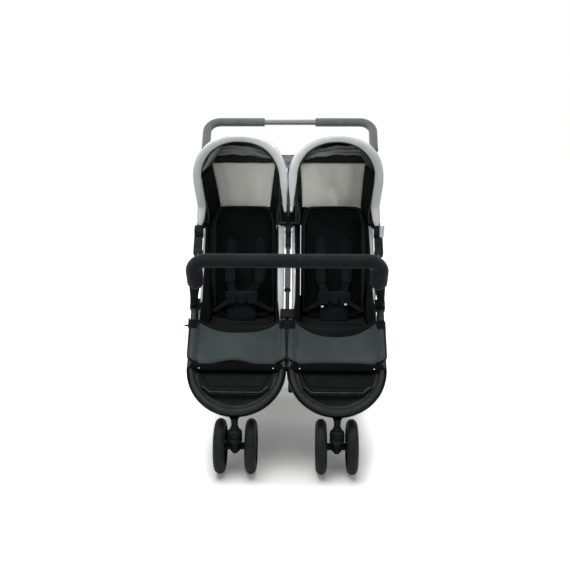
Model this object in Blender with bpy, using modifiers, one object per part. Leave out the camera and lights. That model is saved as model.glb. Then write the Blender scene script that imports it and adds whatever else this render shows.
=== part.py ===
"""Side-by-side double stroller: two seats under two canopies on one folding frame.

Metres, +Z up. The child looks along -Y, the pusher stands at +Y, and X = 0 is the plane
between the seats. The origin is on the floor under the middle of the object.
"""
import math

import bmesh
import bpy
from mathutils import Matrix, Quaternion, Vector

# Gaps
TOUCH = 0.0003
RUNNING = 0.0004
FABRIC_GAP = 0.003

# Fold hinge and the sloping front frame below it
HINGE_Y = 0.050
HINGE_Z = 0.700
FRONT_LEAN = math.radians(48.0)
FRAME_TUBE_RADIUS = 0.0105
HALF_CENTRE_X = 0.160
HOOP_RADIUS = 0.149
HOOP_CENTRE_RUN = 0.507
HINGE_DISC_RADIUS = 0.024
HINGE_ARM_START = 0.0275
HINGE_ARM_WIDTH = 0.025
LOWER_ARM_RUN = 0.090
UPPER_ARM_RUN = 0.065
SOCKET_STEP = 0.0005
HINGE_CHEEK = 0.006
HINGE_PIN_RADIUS = 0.006
CENTRE_TUBE_RADIUS = 0.007
CENTRE_ARM_RUN = 0.060
CENTRE_HINGE_HALF_WIDTH = 0.010
BRACKET_RUN = 0.300
BRACKET_LENGTH = 0.034
BRACKET_WIDTH = 0.046
BRACKET_DEPTH = 0.028

# Push handle
HANDLE_Z = 1.055
HANDLE_HALF_WIDTH = 0.317
HANDLE_CORNER = 0.050
GRIP_RADIUS = 0.016
GRIP_INNER_END_X = 0.0975
GRIP_LEG_END_RUN = 0.375
CROSSBAR_RUN = 0.345
CROSSBAR_RADIUS = 0.008

# Front casters
WHEEL_FLATS = 24
FRONT_WHEEL_DIAMETER = 0.175
FRONT_WHEEL_WIDTH = 0.036
FRONT_WHEEL_SPACING = 0.098
FRONT_RIM_RADIUS = 0.062
CASTER_TRAIL = 0.030
CASTER_STEM_RADIUS = 0.0105
CASTER_HOUSING_RADIUS = 0.0235
CASTER_SPLIT_Z = 0.118
FORK_BOTTOM_Z = 0.081
SWIVEL_PIN_RADIUS = 0.006
SWIVEL_PIN_LENGTH = 0.022
SWIVEL_PIN_END_GAP = 0.002
CASTER_FLARE_HEIGHT = 0.052
FORK_ARM_WIDTH = 0.030
FORK_ARM_HEIGHT = 0.022
FORK_ARM_RISE = 0.008
FRONT_AXLE_RADIUS = 0.005

# Rear legs, axle and wheels
REAR_WHEEL_DIAMETER = 0.235
REAR_WHEEL_WIDTH = 0.042
REAR_RIM_RADIUS = 0.092
REAR_WHEEL_CLEARANCE = 0.011
REAR_AXLE_Y = 0.300
REAR_AXLE_RADIUS = 0.006
REAR_TUBE_RADIUS = 0.011
REAR_LEG_RADIUS = 0.010
REAR_PIVOT_RUN = 0.070
REAR_PIVOT_BEHIND = 0.028
REAR_KNUCKLE_RADIUS = 0.013
HUB_BLOCK_LENGTH = 0.050
HUB_BLOCK_WIDTH = 0.034
HUB_GAP = 0.001
PEDAL_X = 0.018
PEDAL_WIDTH = 0.020
PEDAL_LENGTH = 0.080

# Seats
SEAT_HALF_WIDTH = 0.136
SEAT_WALL = 0.011
SEAT_PAD_THICKNESS = 0.032
SEAT_FRONT_Y = -0.172
SEAT_REAR_Y = 0.062
SEAT_TOP_Z = 0.400
SEAT_CROWN = 0.007
RECLINE_ROLL_RADIUS = 0.010
RECLINE_Z = 0.386
BACK_LENGTH = 0.400
BACK_ANGLE = math.radians(73.4)
BACK_HALF_WIDTH = 0.1165
BACK_THICKNESS = 0.028
BACK_WING = 0.100
CALF_LENGTH = 0.104
CALF_HALF_WIDTH = 0.134
CALF_THICKNESS = 0.020
CALF_SLOPE = math.radians(35.0)
CALF_ROLL_RADIUS = 0.008
SEAT_RAIL_RADIUS = 0.008
SEAT_RAIL_X = 0.285
SEAT_RAIL_REAR_Y = 0.200
SEAT_BAR_Y = -0.100
SEAT_BAR_BEND = 0.011
CROTCH_PAD_Y = -0.055
CROTCH_PAD_HEIGHT = 0.100
CROTCH_PAD_HALF_WIDTH = 0.054
CROTCH_PAD_THICKNESS = 0.016
CROTCH_PAD_LEAN = 0.030

# Basket under the seats
BASKET_BOTTOM_Z = 0.235
BASKET_WALL = 0.004
BASKET_TAPER = 0.035

# Footrest shields
SHIELD_THICKNESS = 0.003
SHIELD_RECESS = 0.013
SHIELD_RIM = 0.022
SHIELD_TOP_RISE = 0.012
SHIELD_LEDGE_RUN = 0.085
SHIELD_SLOPE = 0.012
SHIELD_LEDGE_DEPTH = 0.010
SHIELD_LEDGE_HEIGHT = 0.012

# Bumper bar across both seats
BUMPER_BRACKET_RUN = 0.284
BUMPER_PIVOT_FRONT = 0.026
BUMPER_Y = -0.248
BUMPER_Z = 0.667
BUMPER_PAD_RADIUS = 0.0225
BUMPER_HALF_WIDTH = 0.2975
BUMPER_CORNER = 0.045
BUMPER_SLEEVE_LENGTH = 0.066
BUMPER_EYE_RADIUS = 0.011
BUMPER_EAR_THICKNESS = 0.009
BUMPER_CLAMP_WALL = 0.003

# Canopies
CANOPY_PIVOT_RUN = 0.040
CANOPY_THICKNESS = 0.003
CANOPY_FRONT_ANGLE = math.radians(118.0)
CANOPY_REAR_ANGLE = math.radians(62.0)
CANOPY_FRONT_REACH = 0.350
CANOPY_MIDDLE_REACH = 0.320
CANOPY_REAR_REACH = 0.312
CANOPY_FRONT_HALF_WIDTH = 0.146
CANOPY_MIDDLE_HALF_WIDTH = 0.146
CANOPY_REAR_HALF_WIDTH = 0.134
CANOPY_SHOULDER = 0.52
CANOPY_HEM_RADIUS = 0.014
CANOPY_SKIRT_START = 0.070
CANOPY_PANEL_BOTTOM_Z = 0.757
CANOPY_PANEL_BOTTOM_Y = 0.236
CANOPY_PANEL_HALF_WIDTH = 0.125
BOW_RADIUS = 0.0045
BOW_FOOT_LENGTH = 0.0055
BOW_INNER_STEP = 0.0105

# Storage latch on the outside of the left frame tube
LATCH_RUN = 0.358
LATCH_RADIUS = 0.009
LATCH_REACH = 0.017

# Values that follow from the sizes above
REAR_AXLE_Z = REAR_WHEEL_DIAMETER / 2
FRONT_AXLE_Z = FRONT_WHEEL_DIAMETER / 2
OUTER_TUBE_X = HALF_CENTRE_X + HOOP_RADIUS
FRAME_INNER_X = OUTER_TUBE_X - FRAME_TUBE_RADIUS
FRAME_OUTER_X = OUTER_TUBE_X + FRAME_TUBE_RADIUS
HOOP_BOTTOM_RUN = HOOP_CENTRE_RUN + HOOP_RADIUS
SEAT_BOTTOM_Z = SEAT_TOP_Z - SEAT_PAD_THICKNESS
SEAT_RAIL_Z = SEAT_BOTTOM_Z - SEAT_RAIL_RADIUS - TOUCH
RECLINE_Y = SEAT_REAR_Y + RECLINE_ROLL_RADIUS + TOUCH
CALF_PIVOT_Y = SEAT_FRONT_Y - CALF_ROLL_RADIUS - TOUCH
CALF_PIVOT_Z = SEAT_TOP_Z - SEAT_PAD_THICKNESS / 2 - 0.003
REAR_WHEEL_INNER_X = OUTER_TUBE_X + REAR_LEG_RADIUS + REAR_WHEEL_CLEARANCE
REAR_WHEEL_X = REAR_WHEEL_INNER_X + REAR_WHEEL_WIDTH / 2
BUMPER_EAR_X = FRAME_INNER_X - 0.003

parts = bpy.data.collections.new("double_stroller")


def clear_scene():
    for thing in list(bpy.data.objects):
        bpy.data.objects.remove(thing, do_unlink=True)
    bpy.context.scene.collection.children.link(parts)


def material(name, colour, roughness, metallic=0.0):
    look = bpy.data.materials.new(name)
    look.use_nodes = True
    shader = look.node_tree.nodes["Principled BSDF"]
    shader.inputs["Base Color"].default_value = (*colour, 1.0)
    shader.inputs["Roughness"].default_value = roughness
    shader.inputs["Metallic"].default_value = metallic
    return look


# Points on the two frame planes

def on_front(run, ahead=0.0, x=0.0):
    """A point down the front frame from the fold hinge, and ahead of the frame's plane."""
    return Vector((
        x,
        HINGE_Y - run * math.cos(FRONT_LEAN) - ahead * math.sin(FRONT_LEAN),
        HINGE_Z - run * math.sin(FRONT_LEAN) + ahead * math.cos(FRONT_LEAN),
    ))


HOOP_BOTTOM = on_front(HOOP_BOTTOM_RUN)
SWIVEL_Y = HOOP_BOTTOM.y
FRONT_AXLE_Y = SWIVEL_Y + CASTER_TRAIL
HANDLE_Y = FRONT_WHEEL_DIAMETER / 2 - FRONT_AXLE_Y - GRIP_RADIUS
HANDLE_REACH = math.hypot(HANDLE_Y - HINGE_Y, HANDLE_Z - HINGE_Z)
HANDLE_SLOPE = math.atan2(HANDLE_Z - HINGE_Z, HANDLE_Y - HINGE_Y)
REAR_PIVOT = on_front(REAR_PIVOT_RUN, -REAR_PIVOT_BEHIND)


def on_handle(run, x=0.0):
    """A point up the handle frame from the fold hinge."""
    return Vector((
        x,
        HINGE_Y + run * math.cos(HANDLE_SLOPE),
        HINGE_Z + run * math.sin(HANDLE_SLOPE),
    ))


CANOPY_PIVOT = on_handle(CANOPY_PIVOT_RUN)


# Modelling helpers

def link(thing, look):
    thing.data.materials.append(look)
    parts.objects.link(thing)
    return thing


def from_bmesh(name, shape, look, smooth=False):
    bmesh.ops.recalc_face_normals(shape, faces=shape.faces)
    mesh = bpy.data.meshes.new(name)
    shape.to_mesh(mesh)
    shape.free()
    if smooth:
        mesh.shade_smooth()
        mesh.set_sharp_from_angle(angle=math.radians(40))
    return link(bpy.data.objects.new(name, mesh), look)


def plain_mesh(thing):
    """The object with its curve or modifiers made into one welded mesh."""
    bpy.context.view_layer.update()
    graph = bpy.context.evaluated_depsgraph_get()
    mesh = bpy.data.meshes.new_from_object(thing.evaluated_get(graph))
    shape = bmesh.new()
    shape.from_mesh(mesh)
    bmesh.ops.remove_doubles(shape, verts=shape.verts, dist=0.00001)
    shape.to_mesh(mesh)
    shape.free()
    name = thing.name
    solid = bpy.data.objects.new(name, mesh)
    parts.objects.link(solid)
    solid.matrix_world = thing.matrix_world.copy()
    bpy.data.objects.remove(thing, do_unlink=True)
    solid.name = name
    return solid


def combined(base, other, operation="UNION"):
    """The base with the other shape joined to it or cut from it."""
    step = base.modifiers.new(operation.lower(), "BOOLEAN")
    step.operation = operation
    step.object = other
    result = plain_mesh(base)
    bpy.data.objects.remove(other, do_unlink=True)
    return result


def joint_empty(name, place):
    """An empty on a joint's axis, which carries the pieces that turn or slide there."""
    empty = bpy.data.objects.new(name, None)
    empty.location = place
    parts.objects.link(empty)
    return empty


def carry(empty, *pieces):
    """The pieces stay where they are and follow the empty."""
    for piece in pieces:
        piece.parent = empty
        piece.matrix_parent_inverse = Matrix.Translation(empty.location).inverted()


def rounded(corners, radius, pieces=5):
    """A path through the corner points with each inner corner replaced by an arc."""
    path = [corners[0]]
    for before, corner, after in zip(corners, corners[1:], corners[2:]):
        back = (before - corner).normalized()
        ahead = (after - corner).normalized()
        half = back.angle(ahead) / 2
        centre = corner + (back + ahead).normalized() * radius / math.sin(half)
        start = corner + back * radius / math.tan(half) - centre
        end = corner + ahead * radius / math.tan(half) - centre
        turn = start.rotation_difference(end)
        for step in range(pieces + 1):
            path.append(centre + Quaternion().slerp(turn, step / pieces) @ start)
    path.append(corners[-1])
    return path


def tube(name, path, radius, look, roundness=3, scales=None):
    """A round tube with closed ends along the path."""
    curve = bpy.data.curves.new(name, "CURVE")
    curve.dimensions = "3D"
    curve.bevel_depth = radius
    curve.bevel_resolution = roundness
    curve.use_fill_caps = True
    run = curve.splines.new("POLY")
    run.points.add(len(path) - 1)
    for index, place in enumerate(path):
        run.points[index].co = (*place, 1.0)
        if scales:
            run.points[index].radius = scales[index]
    return link(bpy.data.objects.new(name, curve), look)


def rod(name, start, end, radius, look, sides=16):
    """A straight round bar between two points."""
    shape = bmesh.new()
    length = (end - start).length
    turn = (end - start).to_track_quat("Z", "Y").to_matrix().to_4x4()
    bmesh.ops.create_cone(shape, cap_ends=True, segments=sides, radius1=radius, radius2=radius,
                          depth=length, matrix=Matrix.Translation((start + end) / 2) @ turn)
    return from_bmesh(name, shape, look, smooth=True)


def box(name, size, centre, look, turn_x=0.0, bevel=0.0):
    """A box turned about X, with its edges rounded."""
    shape = bmesh.new()
    bmesh.ops.create_cube(shape, size=1.0, matrix=Matrix.Diagonal((*size, 1.0)))
    thing = from_bmesh(name, shape, look)
    thing.location = centre
    thing.rotation_euler.x = turn_x
    if bevel:
        edges = thing.modifiers.new("edges", "BEVEL")
        edges.width = bevel
        edges.segments = 2
    return thing


def side_plate(name, outline, inner_x, outer_x, look, holes=()):
    """A flat plate seen from the side: its outline and holes are (y, z) points."""
    curve = bpy.data.curves.new(name, "CURVE")
    curve.dimensions = "2D"
    curve.fill_mode = "BOTH"
    curve.extrude = abs(outer_x - inner_x) / 2
    for loop in (outline, *holes):
        run = curve.splines.new("POLY")
        run.points.add(len(loop) - 1)
        for index, (y, z) in enumerate(loop):
            run.points[index].co = (y, z, 0.0, 1.0)
        run.use_cyclic_u = True
    plate = link(bpy.data.objects.new(name, curve), look)
    upright = Matrix(((0, 0, 1, 0), (1, 0, 0, 0), (0, 1, 0, 0), (0, 0, 0, 1)))
    plate.matrix_world = Matrix.Translation(((inner_x + outer_x) / 2, 0, 0)) @ upright
    return plain_mesh(plate)


def ring_outline(centre, radius, sides=20):
    """Points round a circle in the side view."""
    return [(centre.y + radius * math.cos(2 * math.pi * i / sides),
             centre.z + radius * math.sin(2 * math.pi * i / sides)) for i in range(sides)]


def arm_outline(centre, disc_radius, direction, run, width):
    """A disc with a straight arm leaving it, seen from the side."""
    half_turn = math.asin(width / 2 / disc_radius)
    points = []
    steps = 14
    for i in range(steps + 1):
        angle = direction + half_turn + (2 * math.pi - 2 * half_turn) * i / steps
        points.append((centre.y + disc_radius * math.cos(angle),
                       centre.z + disc_radius * math.sin(angle)))
    for side in (-1, 1):
        points.append((
            centre.y + run * math.cos(direction) - side * width / 2 * math.sin(direction),
            centre.z + run * math.sin(direction) + side * width / 2 * math.cos(direction)))
    return points


def turned(name, profile, look, steps, place, along_x=False, closed=True):
    """A turned shape: the (radius, height) profile runs down its outer side, top to bottom.

    Radii are measured to the flats of the many-sided solid, and one flat faces down.
    """
    mesh = bpy.data.meshes.new(name)
    flats = 1 / math.cos(math.pi / steps)
    points = [(radius * flats, 0.0, height) for radius, height in profile]
    edges = [(i, i + 1) for i in range(len(points) - 1)]
    if closed:
        edges.append((len(points) - 1, 0))
    mesh.from_pydata(points, edges, [])
    thing = link(bpy.data.objects.new(name, mesh), look)
    screw = thing.modifiers.new("turn", "SCREW")
    screw.steps = steps
    screw.render_steps = steps
    screw.use_merge_vertices = True
    screw.merge_threshold = 0.00001
    screw.use_smooth_shade = True
    turn = Matrix.Rotation(math.pi / steps, 4, "Z")
    if along_x:
        turn = Matrix.Rotation(math.pi / 2, 4, "Y") @ turn
    thing.matrix_world = Matrix.Translation(place) @ turn
    return plain_mesh(thing)


def loft(name, sections, look, smooth=True):
    """A closed solid through sections that have the same number of points."""
    shape = bmesh.new()
    rings = [[shape.verts.new(point) for point in section] for section in sections]
    for first, second in zip(rings, rings[1:]):
        for i in range(len(first)):
            j = (i + 1) % len(first)
            shape.faces.new((first[i], first[j], second[j], second[i]))
    shape.faces.new(rings[0][::-1])
    shape.faces.new(rings[-1])
    return from_bmesh(name, shape, look, smooth)


def skin(name, rows, thickness, look):
    """A sheet through rows of points, thickened to one side."""
    shape = bmesh.new()
    grid = [[shape.verts.new(point) for point in row] for row in rows]
    for first, second in zip(grid, grid[1:]):
        for i in range(len(first) - 1):
            shape.faces.new((first[i], first[i + 1], second[i + 1], second[i]))
    mesh = bpy.data.meshes.new(name)
    shape.to_mesh(mesh)
    shape.free()
    mesh.shade_smooth()
    sheet = link(bpy.data.objects.new(name, mesh), look)
    wall = sheet.modifiers.new("wall", "SOLIDIFY")
    wall.thickness = thickness
    wall.offset = 1.0
    return sheet


def ease(value):
    """0 below 0, 1 above 1 and a smooth step between."""
    value = min(max(value, 0.0), 1.0)
    return value * value * (3 - 2 * value)


# Front frame

def front_frame_tube(side, look):
    """One half's bent tube: down the outside, round the front hoop, up to the middle bracket."""
    path = [on_front(LOWER_ARM_RUN - SOCKET_STEP + TOUCH, x=side * OUTER_TUBE_X)]
    bends = 16
    for i in range(bends + 1):
        angle = math.pi * i / bends
        path.append(on_front(HOOP_CENTRE_RUN + HOOP_RADIUS * math.sin(angle),
                             x=side * (HALF_CENTRE_X + HOOP_RADIUS * math.cos(angle))))
    path.append(on_front(BRACKET_RUN + BRACKET_LENGTH + TOUCH,
                         x=side * (HALF_CENTRE_X - HOOP_RADIUS)))
    name = "front_frame_left" if side < 0 else "front_frame_right"
    return tube(name, path, FRAME_TUBE_RADIUS, look)


def centre_bracket(look):
    """The block where both inner tubes meet the middle post."""
    return box("centre_bracket", (BRACKET_WIDTH, BRACKET_LENGTH, BRACKET_DEPTH),
               on_front(BRACKET_RUN + BRACKET_LENGTH / 2), look, turn_x=FRONT_LEAN, bevel=0.004)


def centre_post(look):
    return tube("centre_post", [on_front(CENTRE_ARM_RUN + TOUCH), on_front(BRACKET_RUN - TOUCH)],
                CENTRE_TUBE_RADIUS, look)


def hinge_housing(side, look):
    """Lower half of an outer fold hinge: cheek plate with both pivot bores, and tube socket."""
    direction = math.pi + FRONT_LEAN
    hinge = Vector((0, HINGE_Y, HINGE_Z))
    inner = FRAME_OUTER_X + TOUCH
    outer = inner + HINGE_CHEEK
    lug = REAR_PIVOT
    cheek = arm_outline(hinge, HINGE_DISC_RADIUS, direction, LOWER_ARM_RUN, HINGE_ARM_WIDTH)
    ear_ends = [on_front(REAR_PIVOT_RUN + way * REAR_KNUCKLE_RADIUS, -HINGE_ARM_WIDTH / 2)
                for way in (1, -1)]
    ear = [(lug.y + REAR_KNUCKLE_RADIUS * math.cos(direction + math.pi * i / 6),
            lug.z + REAR_KNUCKLE_RADIUS * math.sin(direction + math.pi * i / 6)) for i in range(7)]
    cheek += [(ear_ends[0].y, ear_ends[0].z), *ear, (ear_ends[1].y, ear_ends[1].z)]
    name = "hinge_housing_left" if side < 0 else "hinge_housing_right"
    housing = side_plate(name, cheek, side * inner, side * outer, look)
    half_width = HINGE_ARM_WIDTH / 2 - SOCKET_STEP
    socket_outline = [(place.y, place.z) for place in (
        on_front(HINGE_ARM_START, half_width), on_front(LOWER_ARM_RUN - SOCKET_STEP, half_width),
        on_front(LOWER_ARM_RUN - SOCKET_STEP, -half_width), on_front(HINGE_ARM_START, -half_width))]
    socket = side_plate("socket", socket_outline, side * FRAME_INNER_X,
                        side * (inner + HINGE_CHEEK / 2), look)
    housing = combined(housing, socket)
    for place in (hinge, lug):
        bore = rod("bore", Vector((side * (inner - 0.001), place.y, place.z)),
                   Vector((side * (outer + 0.001), place.y, place.z)),
                   HINGE_PIN_RADIUS + RUNNING, look, sides=20)
        housing = combined(housing, bore, "DIFFERENCE")
    return housing


def centre_hinge_housing(look):
    """Lower half of the middle fold hinge."""
    direction = math.pi + FRONT_LEAN
    hinge = Vector((0, HINGE_Y, HINGE_Z))
    plate = side_plate("hinge_housing_centre",
                       arm_outline(hinge, HINGE_DISC_RADIUS, direction, CENTRE_ARM_RUN, HINGE_ARM_WIDTH),
                       -CENTRE_HINGE_HALF_WIDTH, -TOUCH / 2, look)
    socket = side_plate("socket", [(place.y, place.z) for place in (
        on_front(HINGE_ARM_START, HINGE_ARM_WIDTH / 2), on_front(CENTRE_ARM_RUN, HINGE_ARM_WIDTH / 2),
        on_front(CENTRE_ARM_RUN, -HINGE_ARM_WIDTH / 2), on_front(HINGE_ARM_START, -HINGE_ARM_WIDTH / 2))],
        -CENTRE_HINGE_HALF_WIDTH / 2, CENTRE_HINGE_HALF_WIDTH, look)
    return combined(plate, socket)


# Casters

def caster_housing(side, look):
    """The fixed stem under the hoop, which flares into the swivel housing."""
    top = HOOP_BOTTOM.z - FRAME_TUBE_RADIUS - TOUCH
    flare_top = CASTER_SPLIT_Z + CASTER_FLARE_HEIGHT
    socket_top = CASTER_SPLIT_Z + SWIVEL_PIN_LENGTH + SWIVEL_PIN_END_GAP
    profile = [
        (0.0, top), (CASTER_STEM_RADIUS, top), (CASTER_STEM_RADIUS, flare_top),
        (CASTER_HOUSING_RADIUS - 0.002, flare_top - 0.012), (CASTER_HOUSING_RADIUS, flare_top - 0.030),
        (CASTER_HOUSING_RADIUS - 0.003, CASTER_SPLIT_Z), (SWIVEL_PIN_RADIUS + RUNNING, CASTER_SPLIT_Z),
        (SWIVEL_PIN_RADIUS + RUNNING, socket_top), (0.0, socket_top)]
    name = "caster_housing_left" if side < 0 else "caster_housing_right"
    return turned(name, profile, look, 20, Vector((side * HALF_CENTRE_X, SWIVEL_Y, 0)), closed=False)


def caster_fork(side, look):
    """The part that swivels: pin, tapered body, arm back to the axle, and the axle itself."""
    top = CASTER_SPLIT_Z - TOUCH
    name = "caster_fork_left" if side < 0 else "caster_fork_right"
    centre = Vector((side * HALF_CENTRE_X, SWIVEL_Y, 0))
    pin_top = CASTER_SPLIT_Z + SWIVEL_PIN_LENGTH
    profile = [
        (0.0, pin_top), (SWIVEL_PIN_RADIUS, pin_top), (SWIVEL_PIN_RADIUS, top),
        (CASTER_HOUSING_RADIUS - 0.003, top), (CASTER_HOUSING_RADIUS - 0.004, top - 0.008),
        (0.012, FORK_BOTTOM_Z + 0.008), (0.009, FORK_BOTTOM_Z), (0.0, FORK_BOTTOM_Z)]
    fork = turned(name, profile, look, 16, centre, closed=False)
    arm = box("arm", (FORK_ARM_WIDTH, CASTER_TRAIL, FORK_ARM_HEIGHT),
              centre + Vector((0, CASTER_TRAIL / 2, FRONT_AXLE_Z + FORK_ARM_RISE)), look)
    fork = combined(fork, plain_mesh(arm))
    axle_centre = Vector((side * HALF_CENTRE_X, FRONT_AXLE_Y, FRONT_AXLE_Z))
    barrel_half = FRONT_WHEEL_SPACING / 2 - FRONT_WHEEL_WIDTH / 2 - 0.002
    axle_half = FRONT_WHEEL_SPACING / 2 + FRONT_WHEEL_WIDTH / 2 - 0.002
    for half, radius in ((barrel_half, 0.0115), (axle_half, FRONT_AXLE_RADIUS)):
        reach = Vector((half, 0, 0))
        fork = combined(fork, rod("axle", axle_centre - reach, axle_centre + reach, radius, look))
    return fork


# Wheels

def tyre(name, centre, diameter, width, rim_radius, look, steps):
    """A rubber ring with a round tread and a flat inner side against the rim."""
    inner = rim_radius + TOUCH
    middle = (diameter / 2 + inner) / 2
    half_depth = (diameter / 2 - inner) / 2
    profile = [(inner, width * 0.30)]
    tread = 7
    for i in range(tread):
        angle = math.pi / 2 - math.pi * i / (tread - 1)
        profile.append((middle + half_depth * math.cos(angle) ** 0.8 if 0 < i < tread - 1 else middle,
                        width / 2 * math.sin(angle)))
    profile.append((inner, -width * 0.30))
    return turned(name, profile, look, steps, centre, along_x=True)


def rim(name, centre, width, hub_width, rim_radius, bore_radius, look, steps):
    """A moulded wheel: bead ring, thin dish and hub with its bore."""
    bead = rim_radius * 0.86
    hub = rim_radius * 0.26
    web = 0.004
    profile = [
        (rim_radius, width / 2), (rim_radius, -width / 2), (bead, -web), (hub, -web),
        (bore_radius, -hub_width / 2), (bore_radius, hub_width / 2), (hub, web), (bead, web)]
    return turned(name, profile, look, steps, centre, along_x=True)


def front_wheels(rubber, plastic):
    for side, half in ((-1, "left"), (1, "right")):
        for place, which in ((-1, "a"), (1, "b")):
            centre = Vector((side * HALF_CENTRE_X + place * FRONT_WHEEL_SPACING / 2,
                             FRONT_AXLE_Y, FRONT_AXLE_Z))
            ring = tyre(f"front_tyre_{half}_{which}", centre, FRONT_WHEEL_DIAMETER, FRONT_WHEEL_WIDTH,
                        FRONT_RIM_RADIUS, rubber, WHEEL_FLATS)
            dish = rim(f"front_rim_{half}_{which}", centre, FRONT_WHEEL_WIDTH * 0.6,
                       FRONT_WHEEL_WIDTH - 0.002, FRONT_RIM_RADIUS,
                       FRONT_AXLE_RADIUS + RUNNING, plastic, WHEEL_FLATS)
            carry(joint_empty(f"front_spin_{half}_{which}", centre), ring, dish)


def rear_wheels(rubber, plastic):
    for side, half in ((-1, "left"), (1, "right")):
        centre = Vector((side * REAR_WHEEL_X, REAR_AXLE_Y, REAR_AXLE_Z))
        ring = tyre(f"rear_tyre_{half}", centre, REAR_WHEEL_DIAMETER, REAR_WHEEL_WIDTH,
                    REAR_RIM_RADIUS, rubber, WHEEL_FLATS)
        dish = rim(f"rear_rim_{half}", centre, REAR_WHEEL_WIDTH * 0.6, REAR_WHEEL_WIDTH - 0.002,
                   REAR_RIM_RADIUS, REAR_AXLE_RADIUS + RUNNING, plastic, WHEEL_FLATS)
        carry(joint_empty(f"rear_spin_{half}", centre), ring, dish)


# Rear frame

def rear_leg(side, look):
    """A straight leg with a round knuckle and a pin at its top."""
    axle = Vector((0, REAR_AXLE_Y, REAR_AXLE_Z))
    down = (axle - REAR_PIVOT).normalized()
    x = side * OUTER_TUBE_X
    start = REAR_PIVOT + Vector((x, 0, 0))
    end = axle - down * (HUB_BLOCK_LENGTH / 2 + TOUCH) + Vector((x, 0, 0))
    name = "rear_leg_left" if side < 0 else "rear_leg_right"
    leg = plain_mesh(tube(name, [start, end], REAR_LEG_RADIUS, look))
    knuckle = rod("knuckle", start - Vector((REAR_LEG_RADIUS, 0, 0)),
                  start + Vector((REAR_LEG_RADIUS, 0, 0)), REAR_KNUCKLE_RADIUS, look)
    leg = combined(leg, knuckle)
    pin = rod("pin", start, Vector((side * (FRAME_OUTER_X + HINGE_CHEEK), start.y, start.z)),
              HINGE_PIN_RADIUS, look)
    return combined(leg, pin)


def hub_block(side, look):
    """The block at the bottom of a rear leg that holds the axle."""
    axle = Vector((0, REAR_AXLE_Y, REAR_AXLE_Z))
    down = (axle - REAR_PIVOT).normalized()
    across = Vector((0, -down.z, down.y))
    corners = [axle + down * a * HUB_BLOCK_LENGTH / 2 + across * b * HUB_BLOCK_WIDTH / 2 for a, b in (
        (-1, -0.75), (-0.4, -1), (0.6, -1), (1, -0.5), (1, 0.5), (0.6, 1), (-0.4, 1), (-1, 0.75))]
    inner = OUTER_TUBE_X - REAR_LEG_RADIUS - HUB_GAP
    outer = REAR_WHEEL_INNER_X - HUB_GAP
    name = "hub_block_left" if side < 0 else "hub_block_right"
    return side_plate(name, [(place.y, place.z) for place in corners], side * inner, side * outer,
                      look, [ring_outline(axle, REAR_AXLE_RADIUS + RUNNING)])


def rear_axle(look):
    """One bar from wheel to wheel, thick between the legs and thin through the wheels."""
    end = REAR_WHEEL_INNER_X + REAR_WHEEL_WIDTH - HUB_GAP
    shoulder = OUTER_TUBE_X - REAR_LEG_RADIUS - HUB_GAP - TOUCH
    profile = [(0.0, end), (REAR_AXLE_RADIUS, end), (REAR_AXLE_RADIUS, shoulder),
               (REAR_TUBE_RADIUS, shoulder), (REAR_TUBE_RADIUS, -shoulder),
               (REAR_AXLE_RADIUS, -shoulder), (REAR_AXLE_RADIUS, -end), (0.0, -end)]
    return turned("rear_axle", profile, look, 16, Vector((0, REAR_AXLE_Y, REAR_AXLE_Z)),
                  along_x=True, closed=False)


def brake_pedal(look):
    """A foot pedal that turns on the rear axle, with its tread hanging down behind."""
    axle = Vector((0, REAR_AXLE_Y, REAR_AXLE_Z))
    outline = arm_outline(axle, REAR_TUBE_RADIUS + 0.008, math.radians(-62), PEDAL_LENGTH, 0.016)
    return side_plate("brake_pedal", outline, PEDAL_X, PEDAL_X + PEDAL_WIDTH, look,
                      [ring_outline(axle, (REAR_TUBE_RADIUS + RUNNING) / math.cos(math.pi / 16), 24)])


# Handle frame

def knuckle(side, look):
    """Upper half of an outer fold hinge, with the hinge pin that sits in the cheek's bore."""
    hinge = Vector((0, HINGE_Y, HINGE_Z))
    name = "knuckle_left" if side < 0 else "knuckle_right"
    plate = side_plate(name, arm_outline(hinge, HINGE_DISC_RADIUS, HANDLE_SLOPE, UPPER_ARM_RUN,
                                         HINGE_ARM_WIDTH),
                       side * FRAME_INNER_X, side * FRAME_OUTER_X, look)
    pin = rod("pin", Vector((side * OUTER_TUBE_X, hinge.y, hinge.z)),
              Vector((side * (FRAME_OUTER_X + HINGE_CHEEK), hinge.y, hinge.z)), HINGE_PIN_RADIUS, look)
    return combined(plate, pin)


def centre_knuckle(look):
    hinge = Vector((0, HINGE_Y, HINGE_Z))
    plate = side_plate("knuckle_centre", arm_outline(hinge, HINGE_DISC_RADIUS, HANDLE_SLOPE,
                                                     CENTRE_ARM_RUN, HINGE_ARM_WIDTH),
                       TOUCH / 2, CENTRE_HINGE_HALF_WIDTH, look)
    arm = side_plate("arm", [
        (place.y + side * HINGE_ARM_WIDTH / 2 * math.sin(HANDLE_SLOPE),
         place.z - side * HINGE_ARM_WIDTH / 2 * math.cos(HANDLE_SLOPE))
        for place, side in ((on_handle(HINGE_ARM_START), 1), (on_handle(CENTRE_ARM_RUN), 1),
                            (on_handle(CENTRE_ARM_RUN), -1), (on_handle(HINGE_ARM_START), -1))],
        -CENTRE_HINGE_HALF_WIDTH, CENTRE_HINGE_HALF_WIDTH / 2, look)
    return combined(plate, arm)


def handle_path():
    """The U of the push handle, from the left knuckle round to the right one."""
    foot = UPPER_ARM_RUN + TOUCH
    corners = [on_handle(foot, -OUTER_TUBE_X), on_handle(HANDLE_REACH, -HANDLE_HALF_WIDTH),
               on_handle(HANDLE_REACH, HANDLE_HALF_WIDTH), on_handle(foot, OUTER_TUBE_X)]
    return rounded(corners, HANDLE_CORNER, 6)


def handle_tube(look):
    return tube("handle_tube", handle_path(), FRAME_TUBE_RADIUS, look)


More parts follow.
